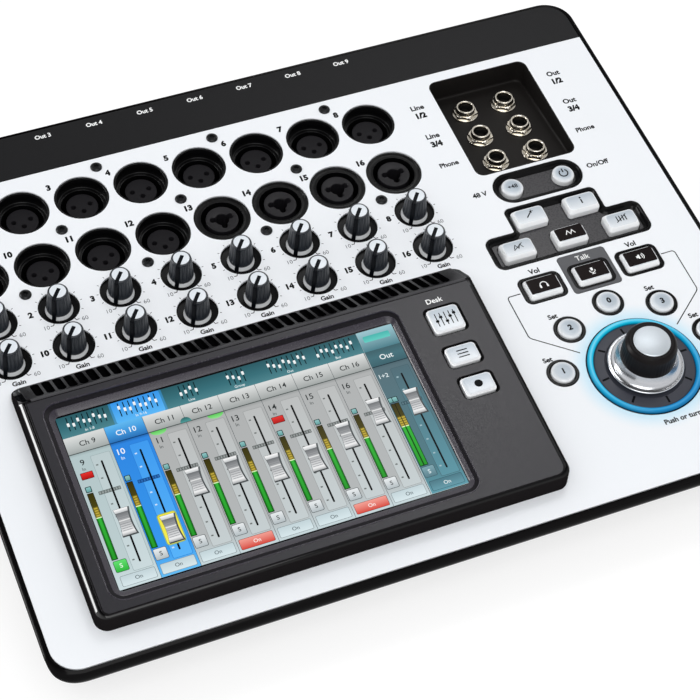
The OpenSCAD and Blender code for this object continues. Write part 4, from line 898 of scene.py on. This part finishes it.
def ring_light():
    """The ring's light, row by angle: navy at its edges, blue to cyan on its crown, most cyan at the back
    left, and a paler thread just outside the crest; the thread and the extra cyan at the back left are a
    painted highlight."""
    navy, blue, cyan, pale = map(linear, ("#05304a", "#0588cc", "#06cdf2", "#a8effa"))
    arc = np.concatenate([[0], bead, [np.pi]])[:, None, None]
    # painted highlight: the ring turns more cyan towards the back left
    turn = 0.5 + 0.5 * np.cos(round_angles(ring_steps)[:, None] - np.radians(110))
    colour = navy + np.sin(arc) ** 1.2 * (blue + turn * (cyan - blue) - navy)
    # painted highlight: a pale thread just outside the crest, strongest at the back left
    painted_highlight = (0.12 + 0.4 * turn ** 2) * np.exp(-((arc - np.radians(88)) / np.radians(20)) ** 2)
    return colour + painted_highlight * (pale - colour)


store(glow, "ring_light", ring_light().reshape(-1, 4))


# Main dial: a chromed skirt that flares out over the disc, a rubber grip with fine ribs and a spun metal
# cap. It turns without end and can be pushed.
chrome = finish("chrome_plate", "#bdbfc3", 0.22, 6.0, 0.00002, 0.02, metal=1.0)
grip_rubber = finish("soft_grip_rubber", "#120f10", 0.34, 0.8, 0.006, shine=0.1)
cap_metal = finish("spun_aluminium_cap", "#ccd3d9", 0.45, 0.8, 0.003, 0.03, metal=1.0)
rise = np.linspace(0, 1, 20)[1:]
flare = np.stack([16.8 - 4.1 * rise ** 0.8, 3.35 + 4.65 * rise ** 2], -1)
edge_turn = np.radians(np.linspace(-90, 90, 17))
skirt_edge = np.stack([16.8 + 0.7 * np.cos(edge_turn), 2.8 + 0.55 * np.sin(edge_turn)], -1)
skirt = np.concatenate([[(9.5, 2.25)], skirt_edge, flare, [(11.0, 8.0)]])
add_piece("dial_skirt", [(chrome, loft(turned(dial, skirt, 180)))], "encoder_skirt",
          body="dial_knob")
grip = eased([(12.5, 7.6), (12.6, 8.3), (11.9, 17.3), (10.5, 19.0), (8.6, 19.0), (8.5, 17.8)],
             [0.25, 0.8, 0.5, 0.12])
ribs = 0.03 * np.cos(48 * round_angles(288)) * np.clip(17.8 - grip[:, 1:], 0, 1)
cap = eased([(8.45, 17.8), (8.45, 18.9), (8.1, 19.15), (4.6, 19.7), (0.6, 19.9)], [0.15, 0.2, 2.0], 8)
add_piece("dial_grip", [(grip_rubber, loft(turned(dial, grip, 288, ribs))),
                        (cap_metal, loft(turned(dial, cap, 96), top=True))],
          "encoder_grip", body="dial_knob")


# Display housing: a low wedge of polished black ABS with a rounded shoulder, and on it a grey cover that
# frames the screen and runs down the back slope, where a row of slots lets the warm air out.
housing_x, housing_y, housing_width, housing_length = -156.43, 12.7, 214, 127.8
crest, crest_height, top_height, top_lean = 111.6, 12.0, 9.5, np.radians(1.3)
back_lean = np.arctan2(crest_height, 16.2)


def on_top(points):
    """The housing's top: x from its left side, y from just behind its front edge, z out of it; a little
    steeper than the panel."""
    return on_panel(tilted(points, (housing_x, housing_y + 1.5, top_height), top_lean))


def on_back_slope(points):
    """The vented slope: x from the left side, y down it from the crest, z out of it."""
    return on_panel(tilted(points, (housing_x, housing_y + crest, crest_height), -back_lean))


def housing_body():
    """The wedge's outline carried inwards: up the wall, then over a quarter of an ellipse onto the sloping
    top, a little below the cover. The ellipse is broad on the left, by the square of the normal's part that
    way, and where the back slope is lower than the shoulder, the height follows it. Also gives the polish
    of each point: full on the left shoulder but for its top, faint elsewhere."""
    outline = box(housing_width / 2, housing_length / 2, housing_width, housing_length, 6, 10)
    arcs, spokes = (values.reshape(4, -1, 2) for values in outline)
    ys = np.array([20, 60, 95, 105, 108, 110, 111, 112, 114, 117, 119.5])
    right, aside = np.stack([0 * ys + housing_width, ys], -1), np.stack([0 * ys + 1, 0 * ys], -1)
    points = np.concatenate([arcs[0], right, arcs[1], arcs[2], right[::-1] * [0, 1], arcs[3]])
    normals = np.concatenate([spokes[0], aside, spokes[1], spokes[2], -aside, spokes[3]])
    to_left, to_front = np.maximum(-normals, 0).T ** 2
    to_back = np.maximum(normals[:, 1], 0) ** 2
    wide = 1.4 + 1.6 * to_left + 0.9 * to_front - 0.9 * to_back
    high = 1.4 + 2.4 * to_left + 0.6 * to_front
    arc = np.radians(np.linspace(0, 90, 16))[:, None]
    inset = np.concatenate([[0 * wide, 0 * wide + 0.12], 0.25 + wide * (1 - np.cos(arc)),
                            [0.25 + wide + 1.6 * (1 - to_back)]])
    row = np.arange(len(inset))[:, None]
    lift = np.concatenate([[0 * high, 0 * high], high * np.sin(arc), [high]])
    flat = points - inset[..., None] * normals
    top = top_height - 0.15 + (flat[..., 1] - 1.5) * np.tan(top_lean)
    back = np.maximum(housing_length - flat[..., 1], 0) * np.tan(back_lean) - 0.2
    height = np.minimum(np.minimum(row / 2, 1) * (top - high) + lift, np.maximum(back, -0.3))
    polish = 0.05 + 0.2 * to_front + 0.75 * to_left * np.clip((14.5 - row) / 2.5, 0, 1)
    return np.concatenate([flat + [housing_x, housing_y], height[..., None]], -1), polish


cover_grey = finish("satin_charcoal_cover", "#201f25", 0.36, 1.0, 0.008, 0.05, shine=0.45)
# painted shadow: the slots' walls and closed floors are painted black, standing in for the dark inside of the
# case
painted_slot_shadow = finish("slot_shadow_black", "#060607", 0.6, 1.0, 0.01, shine=0.0)
# the wall round the wedge is polished to a mirror, whose strength is stored on the mesh
wall_black = finish("mirror_black_ABS", "#050506", 0.06, 6.0, 0.001)
wall_black.node_tree.links.new(stored_share(wall_black, "polish"),
                               wall_black.node_tree.nodes["Principled BSDF"].inputs["Specular IOR Level"])
# the frame round the screen is satin, its floor and the ribs between the slots are duller
frame_black = finish("satin_frame_ABS", "#2c2832", 0.26, 2.0, 0.0003)
floor_black = finish("dull_frame_floor", "#131116", 0.4, 2.0, 0.002, shine=0.15)
rib_black = finish("moulded_rib_ABS", "#131214", 0.3, 1.0, 0.005, shine=0.08)
wedge_rows, polish = housing_body()
dull, bright = slice(dull_rows + 1), slice(dull_rows, None)
wedge_parts = [(side_black, loft(wedge_rows[dull])), (wall_black, loft(wedge_rows[bright]))]
wedge = add_piece("display_wedge", wedge_parts, "display_housing")
store(wedge, "polish", np.concatenate([polish[dull], polish[bright]]).ravel())

frame_outer = box(91.3, 55.3, 166.0, 101.3, 7.0, 10)[0]
frame_inner = box(91.65, 55.0, 157.1, 89.6, 2.4, 10)[0]
display_keys = {"home": (193.3, 91.8, 15.0, 13.3), "menu": (192.9, 71.8, 14.6, 9.9),
                "record": (193, 54.7, 14.6, 9.9)}
cover = box(107.5, 54.9, 207.6, 108.2, [4.5, 0.3, 0.3, 3.0], 10)
cover_rim = carried(cover, [(0.55, -0.7), (0.5, 0.0), (-0.2, 0.0)], 0.35, 5)
mouth = eased([(1.0, 0), (0.75, 0), (0, -0.8), (0, -4)], [0.15, 0.25])
mouths = [carried(box(x, y, width + 0.9, length + 0.9, 1.9, 6), mouth)
          for x, y, width, length in display_keys.values()]
openings = [frame_outer, *[rows[0] for rows in mouths]]
add_piece("display_cover", [(rib_black, loft(cover_rim)), (cover_grey, cut_sheet(cover_rim[-1], openings)),
                            *[(rim_black, loft(rows)) for rows in mouths],
                            (ink_white, moved(lettering("Desk", 192.4, 103.3, 2.7), z=0.03))],
          place=on_top)

# a raised lip, a black floor behind it and a slope down to the glass, as shares of the way in and heights
frame_parts = [(frame_black, eased([(0, 0), (0.02, 0.2), (0.09, 0.2), (0.12, -0.6)], [0.04, 0.03], 5)),
               (floor_black, np.array([(0.12, -0.6), (0.46, -1.1)])),
               (frame_black, eased([(0.46, -1.1), (0.5, -0.95), (0.9, -2.0), (1.0, -2.4)], [0.03, 0.1], 5))]


def between_edges(path):
    """Rows from the frame's outer edge to its inner one: each point of the path gives the share and the
    height."""
    return raised(frame_outer + path[:, :1, None] * (frame_inner - frame_outer), path[:, 1])


add_piece("screen_frame", [(material, loft(between_edges(path))) for material, path in frame_parts],
          place=on_top)

slope_rim = carried(box(108.15, 10.75, 206.3, 17.5, 0.4, 4), [(0.5, -0.7), (0.5, 0.0), (-0.2, 0.0)], 0.3)
slot_rows = np.array([carried(box(107 + (k - 19) * 5.05, 10.75, 3.2, 15.7, 1.4, 5),
                              [(0.3, 0.0), (0.08, -0.12), (0.0, -0.4), (0, -3.5)]) for k in range(39)])
# no slot goes deeper than the panel
slot_rows[..., 2] = np.maximum(slot_rows[..., 2], 0.74 * (slot_rows[..., 1] - 19.8))
add_piece("vent_slope", [(rib_black, loft(slope_rim)),
                         (rib_black, cut_sheet(slope_rim[-1], [rows[0] for rows in slot_rows])),
                         *[(painted_slot_shadow, loft(rows, top=True)) for rows in slot_rows]],
          place=on_back_slope)

crest_line = eased([(107.5, top_height + 106 * np.tan(top_lean) + 0.005), (crest, crest_height - 0.01),
                    (crest + 2.6 * np.cos(back_lean), crest_height - 2.6 * np.sin(back_lean))], 2.2, 10)
crest_points = np.array([(housing_x + x, housing_y + y, z) for y, z in crest_line for x in (6.1, 211.8)])
here = np.arange(len(crest_line) - 1) * 2
add_piece("cover_crest", [(cover_grey, (crest_points, [np.stack([here, here + 1, here + 3, here + 2], -1)]))])


# Display keys: three hard caps of the same milky plastic beside the screen, with signs in black.
# They come up through openings in the cover, which hold them in line over their switches.
for name, (x, y, width, length) in display_keys.items():
    rows, share = cap_rows(x, y, width, length, 1.05, (0.9, 0.9))
    etched = [(ink_black, moved(sign, x, y, 1.23)) for sign in signs[name]]
    add_key(name, [(milky, loft(rows, top=True)), *etched], share, on_top)


# Screen: a touch glass over a lit picture of channel strips: meters, faders and coloured keys with numbers.
# Every part of the picture is a flat tile whose colour is stored at its corners, each a hair above the
# last.
tiles, tile_colours, picture_words = [], [], []
picture_left, layer_step, picture_scale, picture_origin = -0.95, 0.0005, (1, 0.989, 1), (14.4, 11, -2.6)


def tile(outline, top, bottom=None):
    """A flat shape of the picture, in millimetres from its left and front edges, coloured by height."""
    outline = np.asarray(outline, float)
    share = (outline[:, 1:] - outline[:, 1].min()) / np.ptp(outline[:, 1])
    low, high = linear(bottom or top), linear(top)
    tiles.append(outline)
    tile_colours.append(low + share * (high - low))


def patches(x, rows):
    """Rectangles of the picture, their sides counted from x: left, front, right, back, colours at the back
    and the front, and a corner radius. One that would start at nought begins at the picture's own left
    edge."""
    for left, front, right, back, *look in rows:
        top, bottom, radius = (*look, None, None)[:3]
        left = x + left or picture_left
        middle = (left + x + right) / 2, (front + back) / 2
        corners = box_corners(*middle, x + right - left, back - front)
        tile(traced(corners, radius, 3)[0] if radius else corners, top, bottom)


def waisted(x, y, low, high, grow=0.0):
    """Outline of a slice of a fader cap: its half width grows with the square of the height above its
    middle."""
    level = np.linspace(low - grow, high + grow, 9)
    half = 2.4 + 0.7 * (level / 6.6) ** 2 + grow
    return np.concatenate([np.stack([x + half, y + level], -1), np.stack([x - half, y + level], -1)[::-1]])


wide, pitch, slot_in, main_x, head, back_edge = 17.1, 17.22, 11.3, 138.2, 78, 89
patches(0, [(0, 0, 155.3, back_edge, "#b1b3b3", "#c4d3d6"), (0, 83, main_x, back_edge, "#2c5b64", "#39707a"),
            (0, head, main_x, 83, "#39707a", "#4d848d"), (22.4, head, 46.4, back_edge, "#2f7fae", "#4a94c0"),
            (23.4, head, 45.4, back_edge, "#3796ea", "#5cb8f8", 0.8)])
for start, count, name in ((3.4, 8, "In 1-8"), (26.5, 8, "In 9-16"), (54.2, 4, "Line"), (76.3, 4, "Group"),
                           (95.3, 8, "Out"), (118.0, 8, "Bus")):
    for k in range(count):
        level = 84.6 + 1.2 * np.sin(2.1 * k + start)
        patches(start + 2.33 * k, [(-0.24, 81.0, 0.24, 88.2, "#0c2126"),
                                   (-0.55, level - 0.95, 0.55, level + 0.95, "#ffffff", "#e4ebec", 0.25)])
    picture_words.append((name, start + 1.165 * (count - 1), 79.5, 1.25, "#e6f2f4"))
# each kind of strip has its own shades, in the order in which the loop below names them
strip_shades = {
    "chosen": "#2f86e2 #3a9cf0 #62bdf6 #62b8f0 #449ce0 #2a70b8 #0f3f70 #2468b4 "
              "#2a7ad0 #3f9bf0 #57b3fa #174a8a #2c6cb8 #cfe4fb #f4f9ff #d8eafc",
    "main": "#566f78 #4f7f8a #5f9cab #3c5f67 #44707a #39606a #16303a #4c656e "
            "#45616a #4f6c76 #5c95a3 #35505a #5d7a84 #9fbcc4 #f0f7f8 #e4eff1",
    "first": "#b3c6c8 #bfd0d2 #cfe0e4 #dcdedd #c3c8c7 #a2a9a8 #4c5453 #9fb0b2 "
             "#9aabad #bccbcd #cbdadd #67706f #97a09f #767f7e #2b3031 #555b5c",
    "plain": "#b0b2b2 #b4b8b9 #c8d8dc #e0e2e1 #c4c7c6 #a0a5a4 #4c5453 #9b9e9e "
             "#979a9a #bcbebe #c6cfd1 #626766 #939898 #6f7473 #2b3031 #555b5c"}
solo_shades = {"first": "#1d5f2c #63e070 #2fb63c #e8ffe8", "main": "#3c5a64 #7ea5af #587f8b #dcecef",
               "plain": "#4d5456 #e9edef #b4bec2 #33393b"}
on_shades = {"red": "#7d2a22 #f4a094 #d8473b #fff0ec", "main": "#2f5560 #4d7986 #649aa8 #e3eef0",
             "plain": "#7e898c #c3d4d9 #d8e8ec #5f6b70"}
fader_slices = ((4.7, 6.6, "#ffffff", "#c3c6c8"), (1.0, 4.7, "#6d7073", "#a6a8aa"),
                (0.4, 1.0, "#e9eaea", "#dcdddd"), (-4.8, 0.4, "#a9abad", "#e6e7e8"),
                (-6.6, -4.8, "#f7f7f7", "#a4a7a9"))
for k, y in enumerate((30.6, 21.2, 39.4, 39.4, 34.8, 33.8, 40.0, 47.2, 46.8)):
    kind = {0: "first", 1: "chosen", 8: "main"}.get(k, "plain")
    x = main_x if kind == "main" else pitch * k
    slot = x + slot_in
    (body, base, foot, brow, name_top, name_low, line, shade, rim, plate, plate_low, groove, dash, mark, ink,
     small_ink) = strip_shades[kind].split()
    patches(x, [(0, 0, wide, 69.3, body, base), (0, 0, wide, 12, base, foot),
                (0, 74, wide, head, brow, name_top), (0, 69.3, wide, 74, name_top, name_low),
                (0, 69.0, wide, 69.45, line), (0, 67.6, wide, 69.0, shade, body)])
    if kind == "main":
        patches(x, [(0, head, wide, back_edge, "#9cc6cf", "#4b7e8a"),
                    (2.0, 82.9, 14.6, 86.2, "#46b3ac", "#63cdc2", 0.6)])
    patches(x, [(wide - 0.05, 0, wide + 0.2, head, "#39434a"), (7.3, 6.8, 16.0, 66.2, rim, None, 0.6),
                (7.5, 7.0, 15.8, 66.0, plate, plate_low, 0.5)])
    for half, middle in ((0.8, 1.4), (0.8, 3.3)) if kind == "main" else ((1.2, 1.75),):
        patches(x + middle, [(-half - 0.2, 14.3, half + 0.2, 48.5, "#0a0d08"),
                             (-half, 41.4, half, 48.2, "#3a3510", "#4a4415"),
                             (-half, 35.9, half, 41.4, "#6b6220", "#86782a"),
                             *[(-0.75, bar, 0.75, bar + 0.75, "#c0a83c") for bar in (36.6, 37.8, 39.0, 40.2)],
                             (-half, 14.6, half, 35.7, "#1d7f23", "#177019"),
                             (-0.6, 14.8, 0.6, 35.6, "#35b53a", "#279a2b"),
                             (-half, 35.6, half, 36.1, "#dff7bd"),
                             (-1.35, 48.9, 1.35, 51.9, "#1a2c2d", None, 0.4),
                             (-1.0, 49.25, 1.0, 51.55, "#8fc4c3", "#5f9c9b", 0.3)])
    if k in (0, 5):
        patches(x, [(0.6, 55.5, 6.1, 59.1, "#4c0a0a", None, 0.3),
                    (0.85, 55.75, 5.85, 58.85, "#e5332f", "#b01210", 0.2)])
    if k in (2, 3):
        lamp = bent(x + (13 if k == 3 else 4.4), 69.0, 3.6, 180, 360, 13)
        tile(lamp * [1, 0.6] + [0, 27.6], "#5fc95c", "#8fe78c")
    if k == 3:
        tile(bent(x - 0.1, 69.3, 2.5, 0, 180, 13), "#2c5f60", "#4f9c9a")
    patches(x, [(5.2, 46.3, 14.9, 48.1, groove, None, 0.2),
                *[(left, 46.65, left + 0.7, 47.75, dash) for left in np.linspace(5.5, 13.9, 8)]])
    patches(slot, [(-0.42, 10.2, 0.42, 62.6, "#050606", None, 0.4),
                   *[(-2.9, level - 0.35, -1.9, level + 0.35, mark)
                     for level in (12.0, 19.0, 26.5, 34.0, 40.5, 54.0, 61.0)]])
    if kind == "chosen":
        patches(slot, [(-4.3, y - 7.9, 4.3, y + 7.9, "#8fb070", None, 1.4),
                       (-3.9, y - 7.5, 3.9, y + 7.5, "#f2e63c", "#f6ef5a", 1.1)])
    tile(waisted(slot + 0.35, y - 0.35, -6.6, 6.6, 0.35), "#5c6264", "#474c4e")
    tile(waisted(slot, y, -6.6, 6.6, 0.12), "#26292b")
    for low, high, *colours in fader_slices:
        tile(waisted(slot, y, low, high), *colours)
    patches(slot, [(-2.25, y + rib - 0.13, 2.25, y + rib + 0.13, "#83868a")
                   for rib in (-4.2, -3.1, -2.0, -0.9, 1.9, 2.9)])
    rim, top, low, letter = solo_shades.get(kind, solo_shades["plain"]).split()
    patches(x, [(0.35, 8.1, 6.2, 13.8, rim, None, 0.7), (0.6, 8.35, 5.95, 13.55, top, low, 0.5)])
    picture_words.append(("S", x + 3.3, 10.95, 2.1, letter))
    rim, top, low, letter = on_shades["red" if k in (3, 6) else "main" if kind == "main" else "plain"].split()
    patches(x, [(0.9, 1.0, wide - 1.1, 6.2, rim, None, 0.6), (1.1, 1.2, wide - 1.3, 6.0, top, low, 0.5)])
    picture_words.append(("On", x + 8.5, 3.6, 1.8, letter))
    if kind == "main":
        picture_words += [("Out", x + 8.5, 73.4, 2.7, ink), ("1+2", x + 3.4, 63.6, 2.2, small_ink)]
    else:
        picture_words += [(f"Ch {k + 9}", x + 8.5, 73.4, 2.6, ink), (str(k + 9), x + 3.3, 64.0, 2.9, ink),
                          ("In", x + 3.0, 60.6, 1.6, small_ink)]

lit = lit_finish("lit_picture_under_glass", "#030303", 0.1, 6.0, 0.002, 0.02, "picture_colour", 1.0)
glass = finish("black_glass_border", "#050506", 0.1, 8.0, 0.002, shine=0.2)
picture = [(raised(outline[None], np.array([layer_step * layer]))[0], [np.arange(len(outline))[None]])
           for layer, outline in enumerate(tiles)]
for *word, colour in picture_words:
    picture.append(moved(lettering(*word, 0.01), z=layer_step * len(tiles) + 0.01))
    tile_colours.append(np.tile(linear(colour), (len(picture[-1][0]), 1)))
border = carried(box(92.0, 55.0, 162.3, 96.0, 2.0, 6), [(0, -3.6), (0, -2.75), (-0.3, -2.7)])
screen_parts = [(lit, (points * picture_scale + picture_origin, faces)) for points, faces in picture]
screen = add_piece("screen_picture", [*screen_parts, (glass, loft(border, True, True))],
                   "display_glass", on_top)
store(screen, "picture_colour", np.concatenate(tile_colours))


# Stage: a pale floor that keeps the shadow, a white surround, a strip and a card at the back left that draw
# the bright edges, soft boxes over the front and the right, and the camera where the photographer stood.
def largest(tree, output, *others):
    """The largest of some outputs."""
    for other in others:
        output = add_node(tree, "Math", {"operation": "MAXIMUM"}, {0: output, 1: other}).outputs[0]
    return output


def ray_kinds(tree):
    """Outputs that tell whether the camera, a gloss or something clear looks at a thing."""
    outputs = add_node(tree, "LightPath").outputs
    return [outputs[f"Is {kind} Ray"] for kind in ("Camera", "Glossy", "Transmission")]


scene.view_settings.view_transform = "Standard"
floor_mesh = bpy.data.meshes.new("floor")
floor_mesh.from_pydata([(-6, -6, 0), (6, -6, 0), (6, 6, 0), (-6, 6, 0)], [], [(0, 1, 2, 3)])
floor = bpy.data.objects.new("floor", floor_mesh)
scene.collection.objects.link(floor)
paper = bpy.data.materials.new("white_paper_floor")
paper.use_nodes = True
tree = paper.node_tree
matt = tree.nodes["Principled BSDF"]
for key, value in (("Base Color", linear("#f4f4f4")), ("Roughness", 0.9), ("Specular IOR Level", 0.0)):
    matt.inputs[key].default_value = value
share = add_node(tree, "Math", {"operation": "MULTIPLY", 1: 0.62}, {0: largest(tree, *ray_kinds(tree))})
white = add_node(tree, "Emission", {"Strength": 1.16})
both = add_node(tree, "MixShader", {}, {0: share.outputs[0], 1: matt.outputs[0], 2: white.outputs[0]})
tree.links.new(both.outputs[0], tree.nodes["Material Output"].inputs["Surface"])
floor_mesh.materials.append(paper)

# the surround: white to the camera; in reflections white from the floor to half way up and dim overhead
world = bpy.data.worlds.new("white_surround")
scene.world = world
world.use_nodes = True
tree = world.node_tree
camera_ray, *mirror_rays = ray_kinds(tree)
height = add_node(tree, "SeparateXYZ", {}, {0: add_node(tree, "TexCoord").outputs["Generated"]})
ceiling = add_node(tree, "MapRange", {"From Min": 0.6, "From Max": 0.95, "To Min": 1.0, "To Max": 0.12},
                   {"Value": height.outputs["Z"]})
level = add_node(tree, "Mix", {"data_type": "FLOAT", 2: 0.62},
                 {0: largest(tree, *mirror_rays), 3: ceiling.outputs[0]})
level = add_node(tree, "Mix", {"data_type": "FLOAT", 3: 1.0}, {0: camera_ray, 2: level.outputs[0]})
tree.nodes["Background"].inputs["Color"].default_value = (1, 1, 1, 1)
tree.links.new(level.outputs[0], tree.nodes["Background"].inputs["Strength"])

for name, place, aim, size, power in (
        ("back_left_strip", (-0.95, 0.62, 1.05), (0, 0, 0.05), (0.03, 1.6), 2.5),
        ("front_softbox", (-0.3, -1.2, 1.6), (0, 0, 0.05), (1.2, 1.2), 16.5),
        ("right_softbox", (0.53, 0.42, 1.49), (0, 0, 0.05), (0.4, 0.4), 3.0),
        ("edge_card", (-1.26, 0.58, 0.4), (-0.15, -0.06, 0.05), (0.6, 0.75), 15.0)):
    lamp = bpy.data.lights.new(name, "AREA")
    lamp.shape, lamp.size, lamp.size_y, lamp.energy = "RECTANGLE", *size, power
    holder = bpy.data.objects.new(name, lamp)
    scene.collection.objects.link(holder)
    toward = Vector(aim) - Vector(place)
    holder.matrix_world = Matrix.Translation(place) @ toward.to_track_quat("-Z", "Y").to_matrix().to_4x4()
    holder.visible_diffuse = name != "edge_card"  # the card only draws bright lines on polished edges

camera = bpy.data.cameras.new("camera")
camera.lens, camera.sensor_width, camera.clip_start = 109.335, 36.0, 0.05
stand = bpy.data.objects.new("camera", camera)
scene.collection.objects.link(stand)
right, up, back = (0.92648, -0.37634, -0.00057), (0.26481, 0.65082, 0.71155), (-0.26741, -0.65940, 0.70263)
eye = on_panel((panel_left - 84.41, -391.87, 770.40))
stand.matrix_world = Matrix.Translation(eye) @ Matrix((right, up, back)).transposed().to_4x4()
scene.camera = stand
